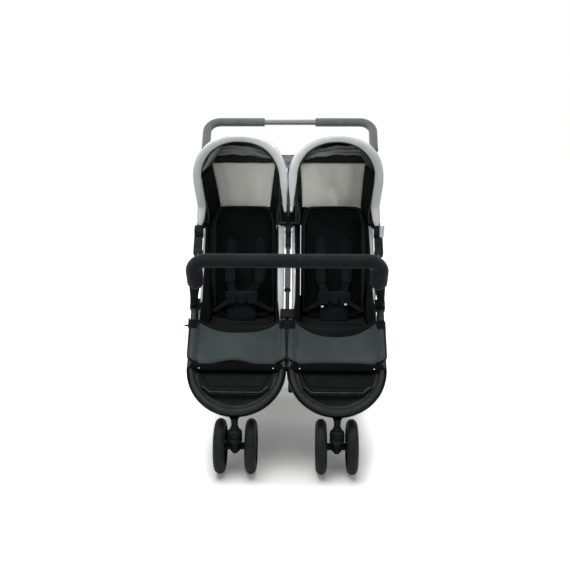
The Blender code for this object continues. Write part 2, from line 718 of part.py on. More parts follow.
def grip(side, look):
    """A foam sleeve over one corner of the handle, from near the middle down the leg."""
    name = "grip_left" if side < 0 else "grip_right"
    lean = (HANDLE_HALF_WIDTH - OUTER_TUBE_X) / (HANDLE_REACH - UPPER_ARM_RUN)
    leg_x = OUTER_TUBE_X + lean * (GRIP_LEG_END_RUN - UPPER_ARM_RUN)
    corners = [on_handle(GRIP_LEG_END_RUN, side * leg_x), on_handle(HANDLE_REACH, side * HANDLE_HALF_WIDTH),
               on_handle(HANDLE_REACH, side * GRIP_INNER_END_X)]
    path = rounded(corners, HANDLE_CORNER, 6)
    sleeve = plain_mesh(tube(name, path, GRIP_RADIUS, look))
    longer = [path[0] * 2 - path[1], *path, path[-1] * 2 - path[-2]]
    core = plain_mesh(tube("core", longer, FRAME_TUBE_RADIUS + TOUCH * 2, look))
    return combined(sleeve, core, "DIFFERENCE")


def upper_crossbar(look):
    """The bar behind both canopies that stiffens the handle frame."""
    lean = (HANDLE_HALF_WIDTH - OUTER_TUBE_X) / (HANDLE_REACH - UPPER_ARM_RUN)
    half = OUTER_TUBE_X + lean * (CROSSBAR_RUN - UPPER_ARM_RUN) - FRAME_TUBE_RADIUS - TOUCH
    return tube("upper_crossbar", [on_handle(CROSSBAR_RUN, -half), on_handle(CROSSBAR_RUN, half)],
                CROSSBAR_RADIUS, look)


def centre_upper_tube(look):
    return tube("centre_upper_tube", [on_handle(CENTRE_ARM_RUN + TOUCH),
                                      on_handle(CROSSBAR_RUN - CROSSBAR_RADIUS - TOUCH)],
                CENTRE_TUBE_RADIUS, look)


# Canopies

def bow_point(share, half_width, reach):
    """Across one bow from its outer foot (-1) over the top (0) to its inner foot (1)."""
    shoulder = reach * CANOPY_SHOULDER
    leg_share = 0.36
    sign = 1 if share >= 0 else -1
    if abs(share) > 1 - leg_share:
        along = (1 - abs(share)) / leg_share
        foot = CANOPY_SKIRT_START
        return sign * half_width * (0.965 + 0.035 * ease(along)), foot + (shoulder - foot) * along
    angle = abs(share) / (1 - leg_share) * math.pi / 2
    return sign * half_width * math.sin(angle), shoulder + (reach - shoulder) * math.cos(angle)


def canopy_place(side, across, run, angle):
    """A point of a canopy: across its half, at a run and angle from the canopy pivot."""
    return Vector((side * HALF_CENTRE_X + across,
                   CANOPY_PIVOT.y + run * math.cos(angle),
                   CANOPY_PIVOT.z + run * math.sin(angle)))


def canopy_size(angle):
    """Half width and reach of the canopy at an angle, between front, middle and rear bows."""
    middle = (CANOPY_FRONT_ANGLE + CANOPY_REAR_ANGLE) / 2
    if angle > middle:
        share = ease((angle - middle) / (CANOPY_FRONT_ANGLE - middle))
        return (CANOPY_MIDDLE_HALF_WIDTH + (CANOPY_FRONT_HALF_WIDTH - CANOPY_MIDDLE_HALF_WIDTH) * share,
                CANOPY_MIDDLE_REACH + (CANOPY_FRONT_REACH - CANOPY_MIDDLE_REACH) * share)
    share = ease((middle - angle) / (middle - CANOPY_REAR_ANGLE))
    return (CANOPY_MIDDLE_HALF_WIDTH + (CANOPY_REAR_HALF_WIDTH - CANOPY_MIDDLE_HALF_WIDTH) * share,
            CANOPY_MIDDLE_REACH + (CANOPY_REAR_REACH - CANOPY_MIDDLE_REACH) * share)


def canopy_fabric(side, look):
    """The hood: a padded front hem, the roof back to the rear line, and the drop panel."""
    columns = 16
    shares = [-1 + 2 * i / columns for i in range(columns + 1)]
    rows = []
    front_width, front_reach = canopy_size(CANOPY_FRONT_ANGLE)
    hem_angle = CANOPY_HEM_RADIUS / front_reach
    for swell, offset in ((-0.004, 2.0), (0.006, 1.7), (CANOPY_HEM_RADIUS * 0.8, 1.0), (0.004, 0.0)):
        rows.append([canopy_place(side, *grown(share, front_width, front_reach, swell),
                                  CANOPY_FRONT_ANGLE - hem_angle * (1.0 - offset))
                     for share in shares])
    roof = 6
    for i in range(1, roof + 1):
        angle = CANOPY_FRONT_ANGLE - hem_angle * 1.5
        angle += (CANOPY_REAR_ANGLE - angle) * i / roof
        half_width, reach = canopy_size(angle)
        sag = 0.006 * abs(math.sin(math.pi * 2 * i / roof))
        rows.append([canopy_place(side, *grown(share, half_width, reach, -sag), angle)
                     for share in shares])
    last = rows[-1]
    drop = 4
    for i in range(1, drop + 1):
        part = i / drop
        row = []
        for share, top in zip(shares, last):
            bottom = Vector((side * HALF_CENTRE_X + share * CANOPY_PANEL_HALF_WIDTH,
                             CANOPY_PANEL_BOTTOM_Y, CANOPY_PANEL_BOTTOM_Z))
            fold = 0.003 * math.sin(part * math.pi) * math.cos(share * 9)
            row.append(top.lerp(bottom, part) + Vector((0, fold, 0)))
        rows.append(row)
    name = "canopy_fabric_left" if side < 0 else "canopy_fabric_right"
    return skin(name, rows, -CANOPY_THICKNESS, look)


def grown(share, half_width, reach, swell):
    """A bow point moved outward by the swell."""
    across, run = bow_point(share, half_width, reach)
    return across * (1 + swell / half_width), run + swell * (1 - abs(share)) ** 0.5


def canopy_bow(side, which, angle, inset, look):
    """A bent rod inside the fabric: its feet turn out to the hinge blocks on both sides."""
    half_width, reach = canopy_size(angle)
    half_width -= CANOPY_THICKNESS + FABRIC_GAP + BOW_RADIUS
    reach -= CANOPY_THICKNESS + FABRIC_GAP + BOW_RADIUS + 0.004
    outer_face = FRAME_INNER_X - TOUCH - HALF_CENTRE_X
    inner_face = HALF_CENTRE_X - CENTRE_HINGE_HALF_WIDTH - TOUCH
    foot = outer_face - BOW_FOOT_LENGTH - inset
    outer_end = outer_face if inset == 0 else foot + BOW_INNER_STEP - BOW_RADIUS - TOUCH
    inner_end = inner_face if inset == 0 else foot + BOW_INNER_STEP - BOW_RADIUS - TOUCH
    points = [(outer_end, 0.0), (foot, 0.0), (foot, 0.030)]
    corner = half_width * 0.972
    points.append((corner, CANOPY_SKIRT_START + 0.012))
    arcs = 8
    shoulder = reach * CANOPY_SHOULDER
    for i in range(arcs + 1):
        turn = math.pi / 2 * i / arcs
        points.append((half_width * math.cos(turn), shoulder + (reach - shoulder) * math.sin(turn)))
    outward = [canopy_place(side, side * across, run, angle) for across, run in points]
    points[0] = (inner_end, 0.0)
    inward = [canopy_place(side, -side * across, run, angle) for across, run in points[-2::-1]]
    return tube(which, outward + inward, BOW_RADIUS, look, roundness=1)


# Seats

def frame_line_z(y):
    """Height of the front frame's tube at a place along Y."""
    return HINGE_Z - (HINGE_Y - y) * math.tan(FRONT_LEAN)


def seat_pad(side, look):
    """The sling seat: a crowned pad with side walls that rise towards the fold hinge."""
    centre = side * HALF_CENTRE_X
    stations = (-0.172, -0.150, -0.120, -0.085, -0.050, -0.010, 0.030, 0.062)
    stretch = (SEAT_REAR_Y - SEAT_FRONT_Y) / (stations[-1] - stations[0])
    sections = []
    for place in stations:
        y = SEAT_FRONT_Y + (place - stations[0]) * stretch
        nose = ease((y - SEAT_FRONT_Y) / 0.05)
        half = SEAT_HALF_WIDTH - 0.016 * (1 - nose)
        inner = half - SEAT_WALL
        crown = SEAT_CROWN * nose
        top = SEAT_TOP_Z - 0.012 * (1 - nose)
        rise = ease((y + 0.145) / 0.09)
        wall = top + 0.002 + max(frame_line_z(y) - 0.024 - top, 0) * rise
        bottom = SEAT_BOTTOM_Z + 0.004 * (1 - nose)
        sections.append([Vector((centre + dx, y, z)) for dx, z in (
            (-half, wall), (-half, bottom), (0, bottom), (half, bottom), (half, wall), (inner, wall),
            (inner, top - 0.006), (inner * 0.72, top + crown * 0.4), (inner * 0.36, top + crown * 0.9),
            (0, top + crown), (-inner * 0.36, top + crown * 0.9), (-inner * 0.72, top + crown * 0.4),
            (-inner, top - 0.006), (-inner, wall))])
    return loft("seat_pad_left" if side < 0 else "seat_pad_right", sections, look)


def seat_back(side, look):
    """The padded back with its two wings, standing on the recline axis."""
    centre = side * HALF_CENTRE_X
    up = Vector((0, math.cos(BACK_ANGLE), math.sin(BACK_ANGLE)))
    ahead = Vector((0, -math.sin(BACK_ANGLE), math.cos(BACK_ANGLE)))
    foot = Vector((centre, RECLINE_Y, RECLINE_Z))
    rear = -BACK_THICKNESS / 2
    start = 0.024
    heights = (0.0, 0.06, 0.14, 0.24, 0.32, 0.36, 0.376)
    sections = [seat_back_section(foot, ahead, BACK_HALF_WIDTH, 0.006, -0.007, 0.006)]
    for height in heights:
        share = height / heights[-1]
        run = start + (BACK_LENGTH - start) * share
        half = BACK_HALF_WIDTH - 0.016 * ease((share - 0.80) / 0.20)
        wing = 0.022 + (BACK_WING - 0.022) * ease(share / 0.35) * (1 - 0.72 * ease((share - 0.62) / 0.38))
        channel = 0.005 * (1 if height in (0.14, 0.32) else 0)
        face = BACK_THICKNESS / 2 - channel - 0.004 * ease((share - 0.85) / 0.15)
        sections.append(seat_back_section(foot + up * run, ahead, half, wing, rear, face))
    back = loft("seat_back_left" if side < 0 else "seat_back_right", sections, look)
    reach = Vector((BACK_HALF_WIDTH - 0.002, 0, 0))
    return combined(back, rod("roll", foot - reach, foot + reach, RECLINE_ROLL_RADIUS, look))


def seat_back_section(centre, ahead, half, wing, rear, face):
    """One level cut through the seat back: wings, flat rear and crowned front."""
    inner = half - SEAT_WALL
    return [centre + ahead * depth + Vector((dx, 0, 0)) for dx, depth in (
        (-half, wing), (-half, rear), (0, rear), (half, rear), (half, wing), (inner, wing),
        (inner, face - 0.006), (inner * 0.6, face), (0, face + 0.002), (-inner * 0.6, face),
        (-inner, face - 0.006), (-inner, wing))]


def calf_rest(side, look):
    """A padded flap in front of the seat, rounded at its lower corners."""
    centre = side * HALF_CENTRE_X
    out = Vector((0, -math.cos(CALF_SLOPE), -math.sin(CALF_SLOPE)))
    up = Vector((0, -math.sin(CALF_SLOPE), math.cos(CALF_SLOPE)))
    foot = Vector((centre, CALF_PIVOT_Y, CALF_PIVOT_Z))
    sections = []
    for share, width, bulk in ((0.0, 0.97, 0.72), (0.10, 1.0, 0.95), (0.35, 1.0, 1.0), (0.65, 1.0, 1.0),
                               (0.86, 0.985, 0.9), (0.96, 0.93, 0.7), (1.0, 0.86, 0.45)):
        half = CALF_HALF_WIDTH * width
        thick = CALF_THICKNESS / 2 * bulk
        sections.append([foot + out * (CALF_LENGTH * share) + up * depth + Vector((dx, 0, 0))
                         for dx, depth in (
                             (-half, 0), (-half * 0.97, -thick * 0.7), (-half * 0.85, -thick), (0, -thick),
                             (half * 0.85, -thick), (half * 0.97, -thick * 0.7), (half, 0),
                             (half * 0.95, thick * 0.55), (half * 0.7, thick * 0.9), (0, thick),
                             (-half * 0.7, thick * 0.9), (-half * 0.95, thick * 0.55))])
    flap = loft("calf_rest_left" if side < 0 else "calf_rest_right", sections, look)
    reach = Vector((CALF_HALF_WIDTH * 0.96, 0, 0))
    return combined(flap, rod("roll", foot - reach, foot + reach, CALF_ROLL_RADIUS, look))


def crotch_pad(side, look):
    """The padded strap with the buckle that stands up from the seat."""
    centre = side * HALF_CENTRE_X
    sections = []
    bottom = SEAT_TOP_Z + SEAT_CROWN + TOUCH
    for share, width, bulk in ((0.0, 0.60, 0.8), (0.12, 0.66, 1.0), (0.45, 0.74, 1.0), (0.75, 0.98, 1.0),
                               (0.94, 1.0, 0.9), (1.0, 0.90, 0.5)):
        half = CROTCH_PAD_HALF_WIDTH * width
        thick = CROTCH_PAD_THICKNESS / 2 * bulk
        z = bottom + CROTCH_PAD_HEIGHT * share
        y = CROTCH_PAD_Y + CROTCH_PAD_LEAN * share
        sections.append([Vector((centre + dx, y + dy, z)) for dx, dy in (
            (-half, 0), (-half * 0.8, -thick), (0, -thick * 1.15), (half * 0.8, -thick), (half, 0),
            (half * 0.8, thick), (0, thick), (-half * 0.8, thick))])
    return loft("crotch_pad_left" if side < 0 else "crotch_pad_right", sections, look)


def seat_frame(look):
    """The bent rail under both seats, from the seat bar back round the rear and forward again."""
    front_y = SEAT_BAR_Y + SEAT_RAIL_RADIUS + TOUCH
    corners = [Vector((side * SEAT_RAIL_X, y, SEAT_RAIL_Z)) for side, y in (
        (-1, front_y), (-1, SEAT_RAIL_REAR_Y), (1, SEAT_RAIL_REAR_Y), (1, front_y))]
    return tube("seat_frame", rounded(corners, 0.035, 4), SEAT_RAIL_RADIUS, look, roundness=2)


def seat_bar(look):
    """The bar under the front of both seats, bent up at its ends to the outer frame tubes."""
    top = frame_line_z(SEAT_BAR_Y - SEAT_RAIL_RADIUS) - FRAME_TUBE_RADIUS / math.cos(FRONT_LEAN) - TOUCH
    corners = [Vector((x, SEAT_BAR_Y, z)) for x, z in (
        (-OUTER_TUBE_X, top), (-OUTER_TUBE_X, SEAT_RAIL_Z), (OUTER_TUBE_X, SEAT_RAIL_Z), (OUTER_TUBE_X, top))]
    return tube("seat_bar", rounded(corners, SEAT_BAR_BEND, 4), SEAT_RAIL_RADIUS, look, roundness=2)


def basket(look):
    """An open-topped fabric tub that hangs from the seat rail."""
    rim_z = SEAT_RAIL_Z - SEAT_RAIL_RADIUS - TOUCH
    front = SEAT_FRONT_Y + 0.030
    rear = SEAT_RAIL_REAR_Y
    levels = []
    for z, shrink in ((rim_z, 0.0), (rim_z - 0.05, BASKET_TAPER * 0.5), (BASKET_BOTTOM_Z, BASKET_TAPER)):
        levels.append((z, SEAT_RAIL_X + 0.002 - shrink, front + shrink * 1.6, rear + 0.004 - shrink))
    outer = [rounded_rectangle(z, half, low, high, 0.03) for z, half, low, high in levels]
    inner = [rounded_rectangle(z, half - BASKET_WALL, low + BASKET_WALL, high - BASKET_WALL, 0.027)
             for z, half, low, high in levels]
    inner[-1] = [Vector((place.x, place.y, BASKET_BOTTOM_Z + BASKET_WALL)) for place in inner[-1]]
    return loft("basket", [*outer[::-1], *inner], look, smooth=False)


def rounded_rectangle(z, half, low, high, radius):
    """Points round a level rectangle with rounded corners."""
    points = []
    for sign_x, y, start in ((1, high - radius, 0), (-1, high - radius, 1), (-1, low + radius, 2),
                             (1, low + radius, 3)):
        for step in range(4):
            angle = (start + step / 3) * math.pi / 2
            points.append(Vector((sign_x * (half - radius) + radius * math.cos(angle),
                                  y + radius * math.sin(angle), z)))
    return points


# Footrest shields

def footrest_shield(side, look):
    """The moulded cover of a hoop: a rim over the tube, a recessed panel and a heel ledge.

    Its rings follow the hoop's outline and close up to a straight line at the top edge.
    """
    centre = side * HALF_CENTRE_X
    outer = HOOP_RADIUS + FRAME_TUBE_RADIUS
    rest = FRAME_TUBE_RADIUS + TOUCH
    rim_share = 1 - SHIELD_RIM / outer
    floor_share = rim_share - SHIELD_SLOPE / outer
    angles = 16
    rings = []
    for wide, deep, recess in ((1.0, 1.0, 0), (rim_share, rim_share, 0), (floor_share, floor_share, 1),
                               (floor_share * 0.8, floor_share * 0.7, 1), (floor_share * 0.6, 0.0, 1)):
        ring = []
        for i in range(angles + 1):
            angle = math.pi * i / angles
            down = (outer * math.sin(angle) + SHIELD_TOP_RISE) * deep - SHIELD_TOP_RISE
            ring.append(on_front(HOOP_CENTRE_RUN + down, rest - recess * SHIELD_RECESS,
                                 centre + outer * math.cos(angle) * wide))
        rings.append(ring)
    name = "footrest_shield_left" if side < 0 else "footrest_shield_right"
    shield = plain_mesh(skin(name, rings, -SHIELD_THICKNESS, look))
    half = math.sqrt((floor_share * outer) ** 2 - SHIELD_LEDGE_RUN ** 2) + 0.002
    centre_ahead = rest - SHIELD_RECESS + SHIELD_THICKNESS / 2 + SHIELD_LEDGE_HEIGHT / 2
    ledge = box("ledge", (2 * half, SHIELD_LEDGE_DEPTH, SHIELD_LEDGE_HEIGHT),
                on_front(HOOP_CENTRE_RUN + SHIELD_LEDGE_RUN, centre_ahead, centre), look, turn_x=FRONT_LEAN)
    return combined(shield, plain_mesh(ledge))


# Bumper bar

def bumper_bracket(side, look):
    """A clamp round the outer frame tube with an ear that carries the bumper bar."""
    name = "bumper_bracket_left" if side < 0 else "bumper_bracket_right"
    depth = FRAME_TUBE_RADIUS + BUMPER_CLAMP_WALL
    ear_outer = BUMPER_EAR_X
    ear_inner = ear_outer - BUMPER_EAR_THICKNESS
    run = BUMPER_BRACKET_RUN
    clamp = side_plate(name, [(place.y, place.z) for place in (
        on_front(run - 0.016, depth), on_front(run + 0.016, depth),
        on_front(run + 0.016, -depth), on_front(run - 0.016, -depth))],
        side * (FRAME_INNER_X - 0.005), side * (FRAME_OUTER_X + BUMPER_CLAMP_WALL), look)
    pivot = on_front(run, BUMPER_PIVOT_FRONT)
    cap = [(pivot.y + BUMPER_EYE_RADIUS * math.cos(FRONT_LEAN + a * math.pi / 6),
            pivot.z + BUMPER_EYE_RADIUS * math.sin(FRONT_LEAN + a * math.pi / 6)) for a in range(7)]
    ear = side_plate("ear", [*cap, *[(place.y, place.z) for place in (
        on_front(run + 0.011, -0.006), on_front(run - 0.011, -0.006))]],
        side * ear_inner, side * ear_outer, look)
    bracket = combined(clamp, ear)
    reach = 0.020
    bore = rod("bore", on_front(run - reach, 0, side * OUTER_TUBE_X),
               on_front(run + reach, 0, side * OUTER_TUBE_X), FRAME_TUBE_RADIUS + RUNNING, look, sides=24)
    return combined(bracket, bore, "DIFFERENCE")


def bumper_bar(look):
    """The padded bar over both seats, with a tapered sleeve and an eye at each end."""
    pivot = on_front(BUMPER_BRACKET_RUN, BUMPER_PIVOT_FRONT)
    top = Vector((0, BUMPER_Y, BUMPER_Z))
    climb = (top - pivot).normalized()
    sleeve_end = pivot + climb * BUMPER_SLEEVE_LENGTH
    foot_x = FRAME_INNER_X + BUMPER_EYE_RADIUS + TOUCH
    points = []
    for side in (-1, 1):
        foot = Vector((side * foot_x, pivot.y, pivot.z))
        wide = Vector((side * (BUMPER_HALF_WIDTH + 0.002), sleeve_end.y, sleeve_end.z))
        corner = Vector((side * BUMPER_HALF_WIDTH, top.y, top.z))
        points.append((foot, wide, corner))
    left, right = points
    slim = BUMPER_EYE_RADIUS / BUMPER_PAD_RADIUS
    bend = rounded([left[1], left[2], right[2], right[1]], BUMPER_CORNER, 5)
    path = [left[0], left[0].lerp(left[1], 0.30), left[0].lerp(left[1], 0.86), *bend,
            right[0].lerp(right[1], 0.86), right[0].lerp(right[1], 0.30), right[0]]
    scales = [slim, slim * 1.15, 0.80, *([1.0] * len(bend)), 0.80, slim * 1.15, slim]
    bar = plain_mesh(tube("bumper_bar", path, BUMPER_PAD_RADIUS, look, scales=scales))
    for side in (-1, 1):
        start = Vector((side * (BUMPER_EAR_X + TOUCH), pivot.y, pivot.z))
        eye = rod("eye", start, start + Vector((side * 2 * BUMPER_EYE_RADIUS, 0, 0)),
                  BUMPER_EYE_RADIUS + 0.001, look)
        bar = combined(bar, eye)
    return bar


def storage_latch(look):
    """A small hook knob on the left tube that holds the folded frame shut."""
    place = on_front(LATCH_RUN)
    start = Vector((-FRAME_OUTER_X - TOUCH, place.y, place.z))
    shift = Vector((-0.005, 0, 0))
    latch = rod("storage_latch", start, start + shift, LATCH_RADIUS, look)
    stub = rod("stub", start + shift * 0.5, start - Vector((LATCH_REACH, 0, 0)), 0.003, look, sides=12)
    latch = combined(latch, stub)
    finger = box("finger", (0.004, 0.010, 0.022), start + Vector((-0.0025, 0.004, 0.012)), look)
    return combined(latch, plain_mesh(finger))


def build():
    clear_scene()
    frame_paint = material("satin_black_frame", (0.025, 0.027, 0.028), 0.45, 0.3)
    tube_metal = material("grey_tube", (0.30, 0.31, 0.31), 0.35, 0.8)
    plastic = material("black_plastic", (0.018, 0.018, 0.018), 0.5)
    rubber = material("black_rubber", (0.014, 0.014, 0.014), 0.75)
    foam = material("grey_foam", (0.085, 0.092, 0.095), 0.9)
    fabric = material("black_fabric", (0.012, 0.013, 0.014), 0.9)
    calf_fabric = material("slate_fabric", (0.055, 0.070, 0.078), 0.55)
    light_fabric = material("light_grey_fabric", (0.62, 0.62, 0.68), 0.85)
    basket_fabric = material("basket_fabric", (0.015, 0.015, 0.016), 0.9)

    hinge = Vector((0, HINGE_Y, HINGE_Z))
    for side in (-1, 1):
        front_frame_tube(side, frame_paint)
        hinge_housing(side, plastic)
        footrest_shield(side, plastic)
        caster_housing(side, plastic)
        seat_pad(side, fabric)
        crotch_pad(side, fabric)
        bumper_bracket(side, plastic)
    centre_hinge_housing(plastic)
    centre_post(frame_paint)
    centre_bracket(plastic)
    seat_frame(frame_paint)
    seat_bar(frame_paint)
    basket(basket_fabric)

    fold = joint_empty("frame_fold", hinge)
    carry(fold, handle_tube(tube_metal), upper_crossbar(frame_paint), centre_upper_tube(frame_paint),
          centre_knuckle(plastic))
    for side in (-1, 1):
        carry(fold, knuckle(side, plastic), grip(side, foam), canopy_fabric(side, light_fabric))
        half = "left" if side < 0 else "right"
        front = joint_empty(f"canopy_open_{half}", CANOPY_PIVOT + Vector((side * HALF_CENTRE_X, 0, 0)))
        carry(front, canopy_bow(side, f"canopy_front_bow_{half}", CANOPY_FRONT_ANGLE, 0.0, frame_paint))
        middle = joint_empty(f"canopy_middle_{half}", front.location.copy())
        carry(middle, canopy_bow(side, f"canopy_middle_bow_{half}",
                                 (CANOPY_FRONT_ANGLE + CANOPY_REAR_ANGLE) / 2, BOW_INNER_STEP, frame_paint))
        recline = joint_empty(f"seat_recline_{half}", Vector((side * HALF_CENTRE_X, RECLINE_Y, RECLINE_Z)))
        carry(recline, seat_back(side, fabric))
        tilt = joint_empty(f"calf_tilt_{half}", Vector((side * HALF_CENTRE_X, CALF_PIVOT_Y, CALF_PIVOT_Z)))
        carry(tilt, calf_rest(side, calf_fabric))
        swivel = joint_empty(f"caster_swivel_{half}", Vector((side * HALF_CENTRE_X, SWIVEL_Y, FRONT_AXLE_Z)))
        carry(swivel, caster_fork(side, plastic))

    legs = joint_empty("rear_leg_fold", REAR_PIVOT)
    for side in (-1, 1):
        carry(legs, rear_leg(side, frame_paint), hub_block(side, plastic))
    carry(legs, rear_axle(frame_paint))
    carry(joint_empty("brake_press", Vector((0, REAR_AXLE_Y, REAR_AXLE_Z))), brake_pedal(plastic))
    front_wheels(rubber, plastic)
    rear_wheels(rubber, plastic)
    carry(joint_empty("bumper_swing", on_front(BUMPER_BRACKET_RUN, BUMPER_PIVOT_FRONT)), bumper_bar(foam))
    carry(joint_empty("latch_turn", on_front(LATCH_RUN, x=-FRAME_OUTER_X)), storage_latch(plastic))


build()
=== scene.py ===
"""A side-by-side double stroller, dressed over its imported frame.

The children face -Y, the pusher stands at +Y, and X = 0 is the plane between the two seats.
"""
import math

import bmesh
import bpy
import numpy as np
from mathutils import Matrix, Vector, noise


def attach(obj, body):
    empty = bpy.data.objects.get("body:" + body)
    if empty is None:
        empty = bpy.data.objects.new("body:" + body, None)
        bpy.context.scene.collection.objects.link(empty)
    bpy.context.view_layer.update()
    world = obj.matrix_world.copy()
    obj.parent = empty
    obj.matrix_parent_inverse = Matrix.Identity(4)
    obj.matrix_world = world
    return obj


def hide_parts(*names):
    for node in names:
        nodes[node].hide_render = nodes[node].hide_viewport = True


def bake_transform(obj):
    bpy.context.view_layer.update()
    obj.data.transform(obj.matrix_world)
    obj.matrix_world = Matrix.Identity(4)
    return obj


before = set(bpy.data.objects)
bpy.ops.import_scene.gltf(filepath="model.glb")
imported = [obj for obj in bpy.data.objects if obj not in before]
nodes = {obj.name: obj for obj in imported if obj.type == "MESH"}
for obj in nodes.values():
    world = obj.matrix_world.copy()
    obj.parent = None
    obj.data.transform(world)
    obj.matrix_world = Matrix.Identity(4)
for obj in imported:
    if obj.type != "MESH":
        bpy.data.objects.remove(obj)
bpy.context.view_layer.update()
halves = ((-1, "left"), (1, "right"))
seat_middle = 0.160
hinge_y, hinge_z = 0.050, 0.700
front_lean = math.radians(48)
handle_slope = math.atan2(0.355, 0.38045)
hoop_run, shield_radius = 0.507, 0.1595
straight_ahead = Vector((0, -1, 0))


# The room: a pale floor that fades into a white backdrop as it glows white to the camera, three
# large soft lamps, a narrow one on the hoods, and a camera at adult eye height, straight in front
# and a little above. The floor glows far less over a box under the stroller: painted shade there.

def seen_directly(tree):
    """1 where the camera or a mirror-like surface sees it, 0 where it only lights things."""
    path = tree.nodes.new("ShaderNodeLightPath")
    seen = tree.nodes.new("ShaderNodeMath")
    seen.operation = "MAXIMUM"
    tree.links.new(path.outputs["Is Camera Ray"], seen.inputs[0])
    tree.links.new(path.outputs["Is Glossy Ray"], seen.inputs[1])
    return seen


floor_mesh = bpy.data.meshes.new("floor")
floor_mesh.from_pydata([(-9, -9, 0), (9, -9, 0), (9, 9, 0), (-9, 9, 0)], [], [(0, 1, 2, 3)])
floor = bpy.data.objects.new("floor", floor_mesh)
bpy.context.scene.collection.objects.link(floor)
pale_floor = bpy.data.materials.new("pale_floor")
pale_floor.use_nodes = True
floor_tree = pale_floor.node_tree
floor_tree.nodes.remove(floor_tree.nodes["Principled BSDF"])
matt = floor_tree.nodes.new("ShaderNodeBsdfDiffuse")
matt.inputs["Color"].default_value = (0.80, 0.80, 0.79, 1)
floor_seen = seen_directly(floor_tree)
floor_glow = floor_tree.nodes.new("ShaderNodeEmission")
spot = floor_tree.nodes.new("ShaderNodeTexCoord")
steps = []
for operation, other in (("ABSOLUTE", None), ("SUBTRACT", (0.20, 0.42, 0)),
                         ("MAXIMUM", (0, 0, 0)), ("LENGTH", None)):
    step = floor_tree.nodes.new("ShaderNodeVectorMath")
    step.operation = operation
    if other:
        step.inputs[1].default_value = other
    steps.append(step)
off_edge, past_edge, beyond, distance = steps
# Glow rises from 0.12 inside a box under the stroller to 0.85 beyond it; the weak glow in the box
# is a painted shadow pool.
shadow_pool_fade = floor_tree.nodes.new("ShaderNodeMapRange")
shadow_pool_fade.interpolation_type = "SMOOTHSTEP"
shadow_pool_fade.inputs["To Min"].default_value = 0.12
shadow_pool_fade.inputs["From Max"].default_value = 0.13
shadow_pool_fade.inputs["To Max"].default_value = 0.85
glow_share = floor_tree.nodes.new("ShaderNodeMath")
glow_share.operation = "MULTIPLY"
both = floor_tree.nodes.new("ShaderNodeAddShader")
for a, b in ((spot.outputs["Object"], off_edge.inputs[0]),
             (off_edge.outputs[0], past_edge.inputs[0]),
             (past_edge.outputs[0], beyond.inputs[0]),
             (beyond.outputs[0], distance.inputs[0]),
             (distance.outputs["Value"], shadow_pool_fade.inputs["Value"]),
             (shadow_pool_fade.outputs["Result"], glow_share.inputs[0]),
             (floor_seen.outputs[0], glow_share.inputs[1]),
             (glow_share.outputs[0], floor_glow.inputs["Strength"]),
             (matt.outputs[0], both.inputs[0]),
             (floor_glow.outputs[0], both.inputs[1]),
             (both.outputs[0], floor_tree.nodes["Material Output"].inputs["Surface"])):
    floor_tree.links.new(a, b)
floor_mesh.materials.append(pale_floor)

room = bpy.data.worlds.new("room")
room.use_nodes = True
bpy.context.scene.world = room
room_light = room.node_tree.nodes["Background"]
room_light.inputs["Color"].default_value = (1, 1, 1, 1)
room_seen = seen_directly(room.node_tree)
level = room.node_tree.nodes.new("ShaderNodeMapRange")
level.inputs["To Min"].default_value = 0.22
level.inputs["To Max"].default_value = 1.0
room.node_tree.links.new(room_seen.outputs[0], level.inputs["Value"])
room.node_tree.links.new(level.outputs["Result"], room_light.inputs["Strength"])

for lamp_name, place, aim, width, watts, spread in (
        ("lamp_over", (-0.3, -0.7, 2.8), (0.0, 0.0, 0.6), 2.0, 74, 180),
        ("lamp_canopies", (0.0, -2.6, 1.40), (0.0, 0.2, 0.85), 0.3, 0.21, 13),
        ("lamp_side", (2.1, -1.6, 1.9), (0.0, 0.0, 0.6), 1.6, 8, 180),
        ("lamp_back", (-0.8, 2.2, 2.2), (0.0, 0.0, 0.8), 1.8, 22, 180)):
    lamp = bpy.data.lights.new(lamp_name, "AREA")
    lamp.size = width
    lamp.energy = watts
    lamp.spread = math.radians(spread)
    lamp_object = bpy.data.objects.new(lamp_name, lamp)
    lamp_object.location = place
    lamp_object.rotation_euler = (Vector(aim) - Vector(place)).to_track_quat("-Z", "Y").to_euler()
    bpy.context.scene.collection.objects.link(lamp_object)

eye = bpy.data.objects.new("eye", bpy.data.cameras.new("eye"))
eye.data.lens = 48.82
eye.location = (0.043, -2.6025, 1.22)
eye.rotation_euler = (math.radians(75.0), 0.0, 0.0206)
bpy.context.scene.collection.objects.link(eye)
bpy.context.scene.camera = eye
bpy.context.scene.view_settings.view_transform = "Standard"


# Steel tubes: the two hoops of the front frame, the rails under the seats, the middle post and
# the rear legs. They are bent from 21 mm and 16 mm tube and powder coated satin black.

def new_finish(name, colour, roughness, metallic=0.0, gloss=0.5):
    """A plain coat of one colour to build a finish on."""
    look = bpy.data.materials.new(name)
    look.use_nodes = True
    coat = look.node_tree.nodes["Principled BSDF"]
    coat.inputs["Base Color"].default_value = (*colour, 1)
    coat.inputs["Roughness"].default_value = roughness
    coat.inputs["Metallic"].default_value = metallic
    coat.inputs["Specular IOR Level"].default_value = gloss
    return look


def texture(look, kind, scale, **settings):
    """A pattern laid in the object's own metres."""
    tree = look.node_tree
    place = tree.nodes.get("Texture Coordinate") or tree.nodes.new("ShaderNodeTexCoord")
    pattern = tree.nodes.new(kind)
    pattern.inputs["Scale"].default_value = scale
    for setting, value in settings.items():
        if setting in pattern.inputs:
            pattern.inputs[setting].default_value = value
        else:
            setattr(pattern, setting, value)
    tree.links.new(place.outputs["Object"], pattern.inputs["Vector"])
    return pattern


